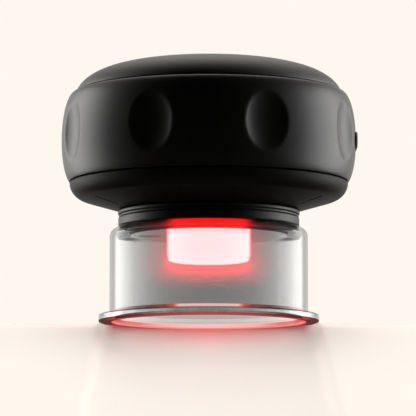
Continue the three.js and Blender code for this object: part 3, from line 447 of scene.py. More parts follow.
# each zone's tint, painted glows and changes; the red hues of the rim zones paint the lamp's red light into
# what passes
cupLooks = {
    "outer": (wallTint + ((0.63, 1.0), (0.665, 0.8), (0.72, 0.69), (0.82, 0.73)),),
    "inner": (wallTint,),
    # the rim side's streaks are painted reflections and its pale glow a painted highlight
    "rimSide": (
        ((0, 0.78), (0.14, 1.0), (0.55, 1.0), (0.66, 0.85), (0.75, 0.6)),
        [(paintedRimHighlight, ((0.36, 0), (0.45, 0.25), (0.58, 0.3), (0.66, 0.1), (0.72, 0)))],
        {**rimLook, "streaks": (0.82, 1.1)}),
    "rimEdge": (
        ((0, 0.55), (0.06, 0.5), (0.14, 0.25), (0.3, 0.3), (0.5, 0.6), (0.8, 0.6)), (),
        {**rimLook, "hue": (1.0, 0.8, 0.8)}),
    "rimFoot": (
        ((0, 0.5), (0.2, 0.5), (0.45, 0.4), (0.6, 0.12), (0.8, 0.1)),
        [(paintedLampRed, ((0, 0.25), (0.06, 0.2), (0.36, 0.1), (0.5, 0)))],
        {**rimLook, "hue": (1.0, 0.45, 0.45), "gloss": 0.05, "inwardTint": (1.0, 0.4, 0.4)}),
    "underside": (
        ((0, 0.2), (0.3, 0.25), (0.6, 0.12), (1, 0.1)),
        [(paintedLampRed, ((0, 0.55), (0.06, 0.45), (0.2, 0.15), (0.4, 0.05), (0.48, 0.08), (0.53, 0.4),
                    (0.64, 0.35), (0.7, 0)))],
        {**rimLook, "hue": (1.0, 0.3, 0.27), "gloss": 0.03}),
    "innerEdge": (
        0.3, [(paintedLampRed, ((0, 0.75), (0.06, 0.55), (0.14, 0.35), (0.5, 0.35), (0.9, 0.6)))],
        {**rimLook, "hue": (1.0, 0.4, 0.4)}),
    "foot": (
        ((0, 0.55), (0.15, 0.42), (0.35, 0.12), (0.6, 0.08)),
        [(paintedFootPink, ((0, 0.75), (0.2, 0.7), (0.5, 0.8), (0.85, 0.4)))]),
    "footEdge": (0.3, [(paintedFootRed, ((0, 0.85), (0.2, 0.6), (0.6, 0.6), (0.85, 0.9)))], rimLook),
    # the shoulder's tint dips at a middle slant, a painted dark band under the collar
    "shoulder": (
        ((0, 0.664), (0.1, 0.7), (0.3, 0.75), (0.4, 0.5), (0.45, 0.24), (0.55, 0.3), (0.64, 1.0),
         (0.72, 0.69), (0.82, 0.73)), (), {"trueSlant": False, "blur": 0.5, "blurRoughness": 0.9}),
    "rimRoot": (
        ((0, 0.4), (0.06, 0.4), (0.1, 0.22), (0.2, 0.2), (0.32, 0.35), (0.45, 0.65), (0.6, 0.9)),
        [(paintedRimPink, ((0, 0.72), (0.046, 0.72), (0.066, 0))),
         (paintedLampRed, ((0.04, 0), (0.066, 0.6), (0.1, 0.2), (0.2, 0.05), (0.35, 0)))],
        {**rimLook, "hue": (1.0, 0.75, 0.75), "inwardTint": (0.88, 0.88, 0.88)}),
}
cupFinishes = {zone: clearFinish("clear" + zone[0].upper() + zone[1:], *look)
               for zone, look in cupLooks.items()}
finishes["clear_cup"] = cupFinishes["outer"]

# painted light: the lamp's red painted as a glow on the front of what stands beside it, strength by how far
# round from the front
lampGlow = {"strength": 2.5, "colour": (1.0, 0.008, 0.008, 1), "front": (0, -1, 0),
            "stops": ((0, 1.0), (0.085, 0.95), (0.12, 0.5), (0.15, 0.08), (0.2, 0))}


def withPaintedLampGlow(material):
    tree = material.node_tree
    facing = vectored(tree, "DOT_PRODUCT", outwardFrom(tree, objectPlace(tree)), lampGlow["front"])["Value"]
    red = stepped(tree, combined(tree, "SUBTRACT", 1.0, facing), lampGlow["stops"])
    setInputs(tree, tree.nodes["Principled BSDF"], {
        "Emission Color": lampGlow["colour"],
        "Emission Strength": combined(tree, "MULTIPLY", red, lampGlow["strength"])})
    return material


# the plug's side and the seal carry that painted red glow
neckFinishes = {
    "collar": moulded("blackCollar", *blackDish, {"Specular IOR Level": 0.42}),
    "under": moulded("blackPlug", blackDish[0], 2600, 0.02, (0.03, 0.06),
                     {"IOR": 2.6, "Coat Weight": 1.0, "Coat IOR": 2.2, "Coat Roughness": 0.03}),
    "side": withPaintedLampGlow(moulded("blackPlugSide", *blackDish, {"Specular IOR Level": 0.1})),
}
sealFinish = withPaintedLampGlow(moulded("sealRubber", (0.02, 0.02, 0.02), *looks["grey_rubber"][2:]))

# the lamp's frosted window: pale pink face on and red at a slant; cast is what it throws on the rest,
# through is what the cup's blur takes from it
lampSide = {"base": (0.8, 0.5, 0.5, 1), "roughness": 0.5, "scale": 38, "face": (2.4, 1.95, 1.94),
            "edge": (2.2, 0.2, 0.2), "cast": (0.8, 0.01, 0.01), "through": (7.5, 0.1, 0.1),
            "slant": (0.62, 0.82)}
lampFoot = dict(lampSide, scale=50, through=(50.0, 0.66, 0.66), slant=(0.995, 1.0))


def lampFinish(name, look):
    material, tree, shader = newFinish(name)
    face, edge, cast, through = [[c / look["scale"] for c in look[key]]
                                 for key in ("face", "edge", "cast", "through")]
    shown = ramped(tree, slantOf(tree), ((look["slant"][0], face), (look["slant"][1], edge)))
    path = addNode(tree, "LightPath").outputs
    seen = combined(tree, "MAXIMUM", path["Is Camera Ray"], path["Is Glossy Ray"])
    tone = mixedColour(tree, seen, (*cast, 1), shown)
    setInputs(tree, shader, {
        "Base Color": look["base"], "Roughness": look["roughness"], "Emission Strength": look["scale"],
        "Emission Color": mixedColour(tree, path["Is Transmission Ray"], tone, (*through, 1))})
    return material


lampFinishes = {"side": lampFinish("lampGlow", lampSide), "foot": lampFinish("lampFootGlow", lampFoot)}
finishes["lamp_diffuser"] = lampFinishes["side"]
slotOf = {part["node"]: part["material_slot"] for part in frame["record"]["subparts"]}
for name, node in nodes.items():
    node.data.materials.clear()
    node.data.materials.append(finishes[slotOf[name]])
print("finishes made:", len(finishes))

# clear cup; from innerEdgeR on, the sizes only bound the finishes
cup = {"wallR": 30.2, "innerR": 28.6, "rimR": 33.5, "rimTop": 2.3, "rimEdge": 0.5, "rimRoot": 0.8,
       "shoulderZ": 28.7, "shoulderRound": 2.6, "ceilingZ": 26.9, "ceilingRound": 1.0, "neckR": 26.0,
       "mouthR": 24.5, "neckTop": 31.9, "mouthRound": 0.4, "turns": 360, "innerEdgeR": 29.6, "footEdgeZ": 0.5,
       "footGlowZ": 1.55, "rootTop": 3.35, "rootReach": 0.9, "glazeLow": 26.45, "near": 0.05, "wallNear": 0.2,
       "sideNear": 0.01}


def cupZoneAt(r, z):
    if z < cup["near"]:
        return "innerEdge" if r < cup["innerEdgeR"] else "underside"
    if r < cup["innerR"] + cup["wallNear"] and z < cup["footGlowZ"]:
        return "footEdge" if z < cup["footEdgeZ"] else "foot"
    if r > cup["rimR"] - cup["rimEdge"] - cup["sideNear"]:
        if z < cup["rimEdge"]:
            return "rimFoot"
        return "rimEdge" if z > cup["rimTop"] - cup["rimEdge"] else "rimSide"
    if z > cup["glazeLow"]:
        return "shoulder"
    if cup["innerR"] + cup["wallNear"] < r < cup["wallR"] + cup["rootReach"] and z < cup["rootTop"]:
        return "rimRoot"
    return "inner" if r < cup["innerR"] + cup["near"] else "outer"


cupOutline = rounded([
    (cup["innerR"], 0, 0.1), (cup["innerEdgeR"], 0), (cup["rimR"], 0, cup["rimEdge"]),
    (cup["rimR"], cup["rimTop"], cup["rimEdge"]), (cup["wallR"], cup["rimTop"], cup["rimRoot"]),
    (cup["wallR"], cup["rootTop"]), (cup["wallR"], cup["shoulderZ"], cup["shoulderRound"]),
    (cup["neckR"], cup["shoulderZ"], 0.3), (cup["neckR"], cup["neckTop"], cup["mouthRound"]),
    (cup["mouthR"], cup["neckTop"], cup["mouthRound"]), (cup["mouthR"], cup["ceilingZ"], 0.3),
    (cup["innerR"], cup["ceilingZ"], cup["ceilingRound"]), (cup["innerR"], cup["footGlowZ"]),
    (cup["innerR"], cup["footEdgeZ"]),
], 7)
clearCup = turnedBody("clearCup", cupOutline, cup["turns"], zoneAt=cupZoneAt, zones=list(cupFinishes))
dress(clearCup, "cup", "clear_cup", "clear_cup", made=cupFinishes.values())

# neck housing: banded collar outside, plug inside; from sideR on, the sizes only bound the finishes
neck = {"skirtR": 26.3, "collarR": 27.6, "collarLow": 29.0, "bandTop": 31.9, "lowBeadR": 27.4,
        "lowBeadTop": 32.7, "highBeadR": 27.7, "top": 33.9, "root": 0.35, "bead": 0.05, "plugR": 24.2,
        "plugInnerR": 21.8, "plugLow": 26.4, "floorTop": 27.9, "grooveR": 22.9, "grooveLow": 27.6,
        "grooveTop": 29.4, "skirtCeiling": 32.2, "lampHoleR": 13.3, "sideR": 25, "sideTop": 30, "near": 0.05}
port = {"place": (-18.0, 0.6), "pocketR": 3.4, "pocketTop": 27.3, "boreR": 0.5, "boreTop": 31.9, "cutLow": 25}


def neckZoneAt(r, z):
    if z < neck["plugLow"] + neck["near"]:
        return "under"
    return "side" if neck["grooveR"] - neck["near"] < r < neck["sideR"] and z < neck["sideTop"] else "collar"


neckOutline = rounded([
    (neck["skirtR"], neck["collarLow"], 0.2), (neck["collarR"], neck["collarLow"], 0.7),
    (neck["collarR"], neck["bandTop"], 0.5), (neck["lowBeadR"] - neck["root"], neck["bandTop"]),
    (neck["lowBeadR"], neck["bandTop"] + neck["bead"], 0.3),
    (neck["lowBeadR"], neck["lowBeadTop"] - neck["bead"], 0.3),
    (neck["lowBeadR"] - neck["root"], neck["lowBeadTop"]),
    (neck["highBeadR"], neck["lowBeadTop"] + neck["bead"], 0.4),
    (neck["highBeadR"], neck["top"] - 0.02, 0.45),
    (neck["highBeadR"] - neck["root"], neck["top"]), (neck["plugInnerR"], neck["top"], 0.2),
    (neck["plugInnerR"], neck["floorTop"], 0.3), (neck["lampHoleR"], neck["floorTop"], 0.2),
    (neck["lampHoleR"], neck["plugLow"], 0.25), (neck["plugR"], neck["plugLow"], 0.5),
    (neck["plugR"], neck["grooveLow"], 0.1), (neck["grooveR"], neck["grooveLow"]),
    (neck["grooveR"], neck["grooveTop"]), (neck["plugR"], neck["grooveTop"], 0.1),
    (neck["plugR"], neck["skirtCeiling"]), (neck["skirtR"], neck["skirtCeiling"]),
], 6)
neckHousing = turnedBody("neckHousing", neckOutline, 240, zoneAt=neckZoneAt, zones=list(neckFinishes))
cutAway(neckHousing, [
    roundCutter("filterPocket", port["pocketR"], port["cutLow"], port["pocketTop"], 48, port["place"]),
    roundCutter("filterBore", port["boreR"], port["cutLow"], port["boreTop"], 24, port["place"])])
dress(neckHousing, "head", "shell_black", "neck_housing", made=neckFinishes.values())

seal = {"innerR": 23.1, "innerRound": 0.4, "r": 24.3, "round": 0.45, "low": 27.8, "top": 29.2}
sealRing = turnedBody("sealRing", rounded([
    (seal["innerR"], seal["low"], seal["innerRound"]), (seal["r"], seal["low"], seal["round"]),
    (seal["r"], seal["top"], seal["round"]), (seal["innerR"], seal["top"], seal["innerRound"])], 8), 200)
dress(sealRing, "head", "grey_rubber", "plug_seal", made=[sealFinish])

# suction filter; rows of holes are (ring radius, count)
sieve = {"r": 3.2, "low": 26.4, "top": 27.1, "holeR": 0.28, "holeLow": 26.2, "holeTop": 26.8,
         "rows": ((0, 1), (1.1, 6), (2.2, 12))}
filterDisc = turnedBody("filterDisc", rounded([
    (0, sieve["low"]), (sieve["r"], sieve["low"], 0.2), (sieve["r"], sieve["top"], 0.15),
    (0, sieve["top"])], 4), 64, port["place"])
filterHoles = []
for rowR, holeCount in sieve["rows"]:
    for x, y in circleLoop(rowR, holeCount):
        filterHoles.append(roundCutter("filterHole", sieve["holeR"], sieve["holeLow"], sieve["holeTop"], 12,
                                       (port["place"][0] + x, port["place"][1] + y)))
cutAway(filterDisc, filterHoles)
dress(filterDisc, "head", "white_plastic", "suction_filter")

# lamp window: frosted drum with a flange over the plug's floor
drum = {"r": 13.0, "low": 18.6, "edge": 2.0, "wall": 1.3, "flangeR": 16.8, "flangeZ": 28.2, "flangeTop": 29.2,
        "footHigh": 0.6}
lampWindow = turnedBody("lampWindow", rounded([
    (0, drum["low"]), (drum["r"], drum["low"], drum["edge"]), (drum["r"], drum["flangeZ"], 0.1),
    (drum["flangeR"], drum["flangeZ"], 0.2), (drum["flangeR"], drum["flangeTop"], 0.2),
    (drum["r"] - drum["wall"], drum["flangeTop"], 0.2),
    (drum["r"] - drum["wall"], drum["low"] + drum["wall"], 0.7), (0, drum["low"] + drum["wall"]),
], 8), 200, zoneAt=lambda r, z: "foot" if z < drum["low"] + drum["footHigh"] else "side",
    zones=list(lampFinishes))
dress(lampWindow, "head", "lamp_diffuser", "lamp_window", made=lampFinishes.values())
print("cup, neck and lamp made")

# bottom housing: dish with a rounded lip and four vents
dish = {"footR": 27.2, "footZ": 34.2, "footRound": 0.5, "floorTop": 36.4, "lipR": 42.5, "lipZ": 42.55,
        "lipRound": 5.2, "lipFrom": -3, "lipTo": -71, "innerTo": -60, "ledge": 0.25, "wall": 2.0,
        "spigotR": 38.3, "spigotInnerR": 36.8, "spigotTop": 46.7, "ventW": 0.8, "ventFrom": 29.5,
        "ventTo": 37.0, "ventUnder": 1.0, "ventShort": 0.5, "vents": (67.5, 112.5, 247.5, 292.5)}
lipCentreR, innerRound = dish["lipR"] - dish["lipRound"], dish["lipRound"] - dish["wall"]
lipArc = arcPoints(lipCentreR, dish["lipZ"], dish["lipRound"], dish["lipRound"], dish["lipFrom"],
                   dish["lipTo"], 28)
innerArc = arcPoints(lipCentreR, dish["lipZ"], innerRound, innerRound, dish["lipTo"], dish["innerTo"], 4)
dishOutline = rounded([
    (0, dish["floorTop"]), (dish["footR"] - dish["wall"], dish["floorTop"], 0.5), *innerArc,
    (dish["spigotInnerR"], dish["lipZ"]), (dish["spigotInnerR"], dish["spigotTop"], 0.2),
    (dish["spigotR"], dish["spigotTop"], 0.3), (dish["spigotR"], dish["lipZ"]),
    (dish["lipR"] - dish["ledge"], dish["lipZ"]), *lipArc,
    (dish["footR"], dish["footZ"], dish["footRound"]), (0, dish["footZ"])], 5)
bottomHousing = turnedBody("bottomHousing", dishOutline, 360)


# an upright pill-shaped cutter that points away from the axis
def radialPill(name, bearing, fromR, toR, width, low, high, steps=8):
    outward, across = Vector(bearingPlace(1, bearing)), Vector(bearingPlace(1, bearing + 90))
    points = []
    for centreR, turn in ((toR - width / 2, -math.pi / 2), (fromR + width / 2, math.pi / 2)):
        for k in range(steps + 1):
            t = turn + math.pi * k / steps
            points.append(outward * (centreR + width / 2 * math.cos(t)) + across * (width / 2 * math.sin(t)))
    return loftedBody(name, [[(*point, z) for point in points] for z in (low, high)])


cutAway(bottomHousing, [
    radialPill("ventCutter", bearing, dish["ventFrom"], dish["ventTo"], dish["ventW"],
               dish["footZ"] - dish["ventUnder"], dish["lipZ"] - dish["ventShort"])
    for bearing in dish["vents"]])
dress(bottomHousing, "head", "shell_black", "bottom_housing", made=[dishFinish])

# grip ring: rounded band with eight finger dimples, a button slot and a socket slot
ring = {"r": 44.96, "low": 42.85, "waist": 55.35, "top": 70.05, "lowBulge": 3.5, "lowSemi": 13.22,
        "lowSweep": 71, "highBulge": 3.96, "mouthR": 38.6, "mouthFlat": 2.2, "innerR": 40.4, "mouthH": 2.6,
        "turns": 720, "lowRows": 40, "highRows": 60}
dimple = {"count": 8, "depth": 1.95, "deep": 6.0, "wide": 10.6, "high": 15.5, "rise": 1.6, "edge": 0.3}
# the button's hollow is (depth, inset) from its face
button = {"wide": 13.0, "high": 5.2, "proudX": 45.3, "faceRound": 0.6, "flangeX": 42.4, "flangeTop": 43.3,
          "flangeMargin": 1.2, "hollow": ((0.02, 0.9), (0.1, 1.3), (0.16, 1.8), (0.19, 2.3)),
          "stemX": 37.9, "stemR": 1.4, "stemOverlap": 0.2, "gap": 0.3, "edge": 0.7, "edgeDepth": 0.35,
          "nearCosine": 0.9, "pocketX": 37.0, "slotX": 43.6, "cutX": 47.0}
socket = {"wide": 9.0, "high": 3.3, "corner": 1.2, "z": 54.6, "backY": 36.8, "mouthY": 44.2, "wall": 0.35,
          "mouthWall": 0.3, "chamfer": 0.15, "chamferIn": 0.12, "gap": 0.3, "slotCorner": 1.0,
          "pocketY": 42.6, "pocketW": 18.0, "pocketLow": 51.25, "pocketCorner": 0.3, "cutLowY": 36.0,
          "cutY": 47.0}
tongue = {"half": 3, "thick": 0.7, "tip": 0.1, "tipLong": 0.15, "back": 0.9, "short": 2.0, "corner": 0.1}
hair = 0.001


def softLess(a, b, width):
    overlap = max(width - abs(a - b), 0) / width
    return min(a, b) - overlap * overlap * width / 4


def ringRadius(r, z, angle):
    if r < ring["mouthR"] + ring["mouthFlat"]:
        return r
    pitch = 2 * math.pi / dimple["count"]
    off = (angle / pitch - 0.5) % 1
    off = (off - 1 if off > 0.5 else off) * pitch
    centreR = ring["r"] - dimple["depth"] + dimple["deep"]
    up = (z - ring["waist"] - dimple["rise"]) / dimple["high"]
    room = 1 - up * up
    if room > 0:  # where the spoke meets the dimple's ellipsoid
        a = (math.cos(off) / dimple["deep"]) ** 2 + (math.sin(off) / dimple["wide"]) ** 2
        b = -2 * centreR * math.cos(off) / dimple["deep"] ** 2
        c = (centreR / dimple["deep"]) ** 2 - room
        root = b * b - 4 * a * c
        if root > 0:
            r = softLess(r, (-b - math.sqrt(root)) / (2 * a), dimple["edge"])
    if math.cos(angle) > button["nearCosine"]:  # soft edge round the button's slot
        halfSlot = button["high"] / 2 + button["gap"]
        reach = button["wide"] / 2 + button["gap"] - halfSlot
        sideways = max(abs(ring["r"] * math.sin(angle)) - reach, 0)
        away = math.hypot(sideways, z - ring["waist"]) - halfSlot
        if away < button["edge"]:
            r -= button["edgeDepth"] * (1 - max(away, 0) / button["edge"]) ** 2
    return r


lowArc = arcPoints(ring["r"] - ring["lowBulge"], ring["waist"], ring["lowBulge"], ring["lowSemi"],
                   -ring["lowSweep"], 0, ring["lowRows"])
highArc = arcPoints(ring["r"] - ring["highBulge"], ring["waist"], ring["highBulge"],
                    ring["top"] - ring["waist"], 0, 90, ring["highRows"])
lowCorner = rounded([(ring["mouthR"], ring["low"]), (*lowArc[0], 0.3), lowArc[2]], 4)[1:-1]
ringOutline = [
    (ring["mouthR"], ring["low"]), *lowCorner, *lowArc[2:], *highArc[1:],
    (ring["mouthR"], ring["top"]), (ring["mouthR"], ring["top"] - ring["mouthH"]),
    (ring["innerR"], ring["top"] - 2 * ring["mouthH"]), (ring["innerR"], ring["low"] + 2 * ring["mouthH"]),
    (ring["mouthR"], ring["low"] + ring["mouthH"])]
gripRing = turnedBody("gripRing", ringOutline, ring["turns"], shape=ringRadius)


# the button's outline at x, grown by a margin
def pillSection(x, margin, steps=20):
    halfHigh = button["high"] / 2 + margin
    reach = button["wide"] / 2 + margin - halfHigh
    points = []
    for side, turn in ((1, 0), (-1, math.pi)):
        for k in range(steps + 1):
            angle = math.pi * k / steps + turn
            points.append((x, side * reach + halfHigh * math.sin(angle),
                           ring["waist"] + halfHigh * math.cos(angle)))
    return points


def boxSection(y, halfWide, low, high, corner, steps=6):
    points = []
    for cx, cz, turn in ((halfWide - corner, high - corner, 0), (corner - halfWide, high - corner, 90),
                         (corner - halfWide, low + corner, 180), (halfWide - corner, low + corner, 270)):
        for k in range(steps + 1):
            angle = math.radians(turn + 90 * k / steps)
            points.append((cx + corner * math.cos(angle), y, cz + corner * math.sin(angle)))
    return points


# the socket's outline at y, grown by a margin
def mouthSection(y, margin, corner):
    halfHigh = socket["high"] / 2 + margin
    return boxSection(y, socket["wide"] / 2 + margin, socket["z"] - halfHigh, socket["z"] + halfHigh, corner)


def pocketSection(y):
    top = socket["z"] + socket["high"] / 2 + socket["gap"]
    return boxSection(y, socket["pocketW"] / 2 + socket["gap"], socket["pocketLow"], top,
                      socket["pocketCorner"])


flangeGap = button["gap"] + button["flangeMargin"]
slotCutter = loftedBody("slotCutter", [
    pillSection(button["pocketX"], flangeGap), pillSection(button["slotX"], flangeGap),
    pillSection(button["slotX"] + hair, button["gap"]), pillSection(button["cutX"], button["gap"])])
socketCutter = loftedBody("socketCutter", [
    pocketSection(socket["cutLowY"]), pocketSection(socket["pocketY"]),
    mouthSection(socket["pocketY"] + hair, socket["gap"], socket["slotCorner"]),
    mouthSection(socket["cutY"], socket["gap"], socket["slotCorner"])])
cutAway(gripRing, [slotCutter, socketCutter])
dress(gripRing, "head", "shell_black", "grip_ring")

# side button: slightly hollow pill face with a flange and a stem
faceSections = [pillSection(button["flangeX"], button["flangeMargin"]),
                pillSection(button["flangeTop"], button["flangeMargin"]),
                pillSection(button["flangeTop"] + 10 * hair, 0)]
for r, x in arcPoints(0, 0, button["faceRound"], button["faceRound"], 0, 90, 6):
    faceSections.append(pillSection(button["proudX"] - button["faceRound"] + x, r - button["faceRound"]))
for depth, inset in button["hollow"]:
    faceSections.append(pillSection(button["proudX"] - depth, -inset))
stemSections = [[(x, u, ring["waist"] + v) for u, v in circleLoop(button["stemR"], 32)]
                for x in (button["stemX"], button["flangeX"] + button["stemOverlap"])]
sideButton, buttonStem = loftedBody("sideButton", faceSections), loftedBody("buttonStem", stemSections)
dress(sideButton, "side_button", "key_black", "side_button")
dress(buttonStem, "side_button", "key_black")

# charging socket: rounded metal mouth with a tongue; lips are (y, inset)
lips = ((socket["backY"], 0), (socket["mouthY"] - socket["chamfer"], 0),
        (socket["mouthY"], socket["chamferIn"]), (socket["mouthY"], socket["mouthWall"]),
        (socket["mouthY"] - socket["chamfer"], socket["wall"]), (socket["backY"] + 1, socket["wall"]))
chargingSocket = loftedBody("chargingSocket", [mouthSection(y, -inset, socket["corner"] - inset)
                                               for y, inset in lips])
tongueTip = socket["mouthY"] - tongue["short"]
socketTongue = loftedBody("socketTongue", [
    boxSection(y, tongue["half"] - inset, socket["z"] - tongue["thick"] / 2 + inset,
               socket["z"] + tongue["thick"] / 2 - inset, tongue["corner"])
    for y, inset in ((socket["backY"] + tongue["back"], 0), (tongueTip, 0),
                     (tongueTip + tongue["tipLong"], tongue["tip"]))])
dress(chargingSocket, "head", "bright_steel", "charging_socket")
dress(socketTongue, "head", "dark_plastic")
print("dish and grip ring made")

# top cap: shallow dome with a window seat and three key holes
cap = {"spread": 40.71, "base": 69.35, "rise": 10.28, "spreadShare": 2 / 3.73, "riseShare": 2 / 1.79,
       "wall": 2.2, "low": 70.35, "spigotR": 38.3, "spigotInnerR": 36.8, "spigotLow": 65.65,
       "innerSweep": 66, "innerSteps": 24, "steps": 72, "cutTop": 81}
# the window's face is (r, z, corner radius)
window = {"r": 10.0, "low": 78.53, "gap": 0.3, "holeR": 8.6, "holeLow": 74, "holeTop": 79,
          "face": ((10.0, 79.57, 0.2), (6, 79.595), (0, 79.598))}
key = {"r": 5.0, "flangeR": 6.0, "gap": 0.3, "ringR": 21.98, "holeLow": 72, "stemR": 1.5, "flangeTop": 76.16,
       "flangeT": 0.8, "top": 79.54, "edge": 0.5, "hollowR": 3.6, "hollowInnerR": 2.4, "slope": 0.15,
       "hollow": 0.25, "bearings": {"suction_key": 240, "power_key": 180, "heat_key": 120}}


def capCurve(spreadR, rise, fromSweep, toSweep, steps):
    points = []
    for k in range(steps + 1):
        sweep = fromSweep + (toSweep - fromSweep) * k / steps
        points.append((spreadR * math.sin(sweep) ** cap["spreadShare"],
                       cap["base"] + rise * max(math.cos(sweep), 0) ** cap["riseShare"]))
    return points


edgeSweep = math.acos(((cap["low"] - cap["base"]) / cap["rise"]) ** (1 / cap["riseShare"]))
innerCurve = capCurve(cap["spread"] - cap["wall"], cap["rise"] - cap["wall"], 0,
                      math.radians(cap["innerSweep"]), cap["innerSteps"])
outerCurve = capCurve(cap["spread"], cap["rise"], edgeSweep, 0, cap["steps"])
capCorner = rounded([(cap["spigotR"], cap["low"]), (*outerCurve[0], 0.2), outerCurve[2]], 3)[1:-1]
capOutline = [*innerCurve, (cap["spigotInnerR"], cap["spigotLow"]), (cap["spigotR"], cap["spigotLow"]),
              (cap["spigotR"], cap["low"]), *capCorner, *outerCurve[2:]]
topCap = turnedBody("topCap", capOutline, 360)
capCutters = [
    roundCutter("windowSeat", window["r"] + window["gap"], window["low"] - window["gap"], cap["cutTop"], 96),
    roundCutter("windowHole", window["holeR"], window["holeLow"], window["holeTop"], 96)]
for bearing in key["bearings"].values():
    capCutters.append(roundCutter("keyHole", key["r"] + key["gap"], key["holeLow"], cap["cutTop"], 72,
                                  bearingPlace(key["ringR"], bearing)))
cutAway(topCap, capCutters)
dress(topCap, "head", "cap_black", "top_cap")

displayWindow = turnedBody("displayWindow", rounded([
    (0, window["low"]), (window["r"], window["low"], 0.15), *window["face"]], 5), 160)
dress(displayWindow, "head", "display_glass", "display_window")

for name, bearing in key["bearings"].items():
    stemLow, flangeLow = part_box(name)[0].z / mm, key["flangeTop"] - key["flangeT"]
    outline = rounded([
        (0, stemLow), (key["stemR"], stemLow, 0.1), (key["stemR"], flangeLow, 0.2),
        (key["flangeR"], flangeLow, 0.1), (key["flangeR"], key["flangeTop"], 0.1),
        (key["r"], key["flangeTop"], 0.1), (key["r"], key["top"], key["edge"]),
        (key["hollowR"], key["top"], 0.4), (key["hollowInnerR"], key["top"] - key["slope"], 2.0),
        (0, key["top"] - key["hollow"])], 6)
    keyName = name.split("_")[0] + "Key"
    dress(turnedBody(keyName, outline, 96, bearingPlace(key["ringR"], bearing)), name, "key_black", name)
print("cap and keys made")

# hoses: node and corners of the path, with rounded bends
hose = {"r": 2.0, "boreR": 1.25, "bend": 5, "sides": 24}
hoses = {
    "cupHose": ("cup_hose", [(-18, 0.6, 28.2), (-18, 0.6, 51.85), (-26.27, 0.6, 51.85)], (0, 1, 0)),
    "pumpHose": ("pump_hose", [(-30.587, -5.175, 53.78), (-30.587, -14.235, 53.78), (-16.14, -14.235, 53.78)],
                 (0, 0, 1)),
}
for name, (node, corners, start) in hoses.items():
    tube = sweptBody(name, bentPath(corners, hose["bend"]), circleLoop(hose["r"], hose["sides"]),
                     circleLoop(hose["boreR"], hose["sides"]), start)
    dress(tube, "head", "silicone_hose", node)

# leads: two wires side by side on a smooth path
wireR = 0.6
coreOff = wireR * math.cos(math.pi / 6)
coreLoop = arcPoints(coreOff, 0, wireR, wireR, -150, 150, 12)
twinLoop = [(side * x, side * y) for side in (1, -1) for x, y in coreLoop]
leads = {
    "lampLead": ("lamp_lead", [(0, 0.6, 30.9), (0, 0.6, 44.95), (0, 0.6, 49.55), (0, 0.6, 70.03)]),
    "motorLead": ("motor_lead", [(25.2, -14.235, 57.24), (26.48, -14.235, 57.67), (27.76, -14.235, 59.8),
                                 (27.76, -14.235, 67.47), (27.76, -14.235, 70.03)]),
    "batteryLead": ("battery_lead", [(25.2, 14.235, 56.94), (26.51, 14.235, 57.38), (27.82, 14.235, 59.56),
                                     (27.82, 14.235, 67.41), (27.82, 14.235, 70.03)]),
}
for name, (node, places) in leads.items():
    dress(sweptBody(name, smoothPath(places, 8), twinLoop, None, (0, 1, 0)), "head", "red_lead", node)

spring = {"x": -30.587, "y": 0.6, "low": 57.06, "high": 62.65, "r": 2.35, "wireR": 0.25, "turns": 5,
          "steps": 24}
springLow, springHigh = spring["low"] + spring["wireR"], spring["high"] - spring["wireR"]
coilPlaces = []
coilSteps = spring["turns"] * spring["steps"]
for k in range(coilSteps + 1):
    angle = 2 * math.pi * k / spring["steps"]
    coilPlaces.append(Vector((spring["x"] + spring["r"] * math.cos(angle),
                              spring["y"] + spring["r"] * math.sin(angle),
                              springLow + (springHigh - springLow) * k / coilSteps)))
valveSpring = sweptBody("valveSpring", coilPlaces, circleLoop(spring["wireR"], 10))
dress(valveSpring, "head", "bright_steel", "valve_spring")
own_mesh(valveSpring)
print("hoses, leads and spring made")

# floor: a disc that is seen from above, and a sweep below it that the low camera sees
cream = (0.991, 0.930, 0.863)
floor = {"discR": 200, "discFade": (60, 170), "discRows": 24, "discSteps": 96, "drop": 0.02,
         "slopeDegrees": 12, "rimR": 33.3, "rimShare": 0.85, "sweepLength": 300, "halfWidth": 260,
         "sweepRows": 80, "sweepColumns": 130, "crowding": 1.6, "camera": 0.595, "speckScale": 400,
         "speckTone": 0.99, "roughness": 0.6, "specular": 0.2,
         "sideFade": (150, 240), "farFade": (200, 290)}
# painted shadow and painted red lamp glow on the sweep: strength by distance to the side, then reach towards
# the camera and its power; beside the rim, (from, to, reach) of what is left out of the painted shadow and of
# the cover
paintedShadowBySide = ((0, 0.88), (17, 0.85), (29, 0.81), (33, 0.42), (37.6, 0.25), (46.5, 0.09), (55, 0.03), (70, 0))
paintedGlowBySide = ((0, 0.62), (17, 0.36), (29, 0.22), (33, 0.03), (37, 0))
shadeReach, glowReach = (36, 1.35), (27, 1.3)
shadeOut, coverOut = (29, 34, 22), (31, 38, 12)


def between(stops, value):
    for (low, first), (high, second) in zip(stops, stops[1:]):
        if value < high:
            return first + (second - first) * (value - low) / (high - low)
    return stops[-1][1]


def smoothShare(value, low, high):
    share = min(max((value - low) / (high - low), 0), 1)
    return share * share * (3 - 2 * share)


def besideRim(off, reach, fromOff, toOff, fade):
    return smoothShare(off, fromOff, toOff) * (1 - smoothShare(reach, 0, fade))


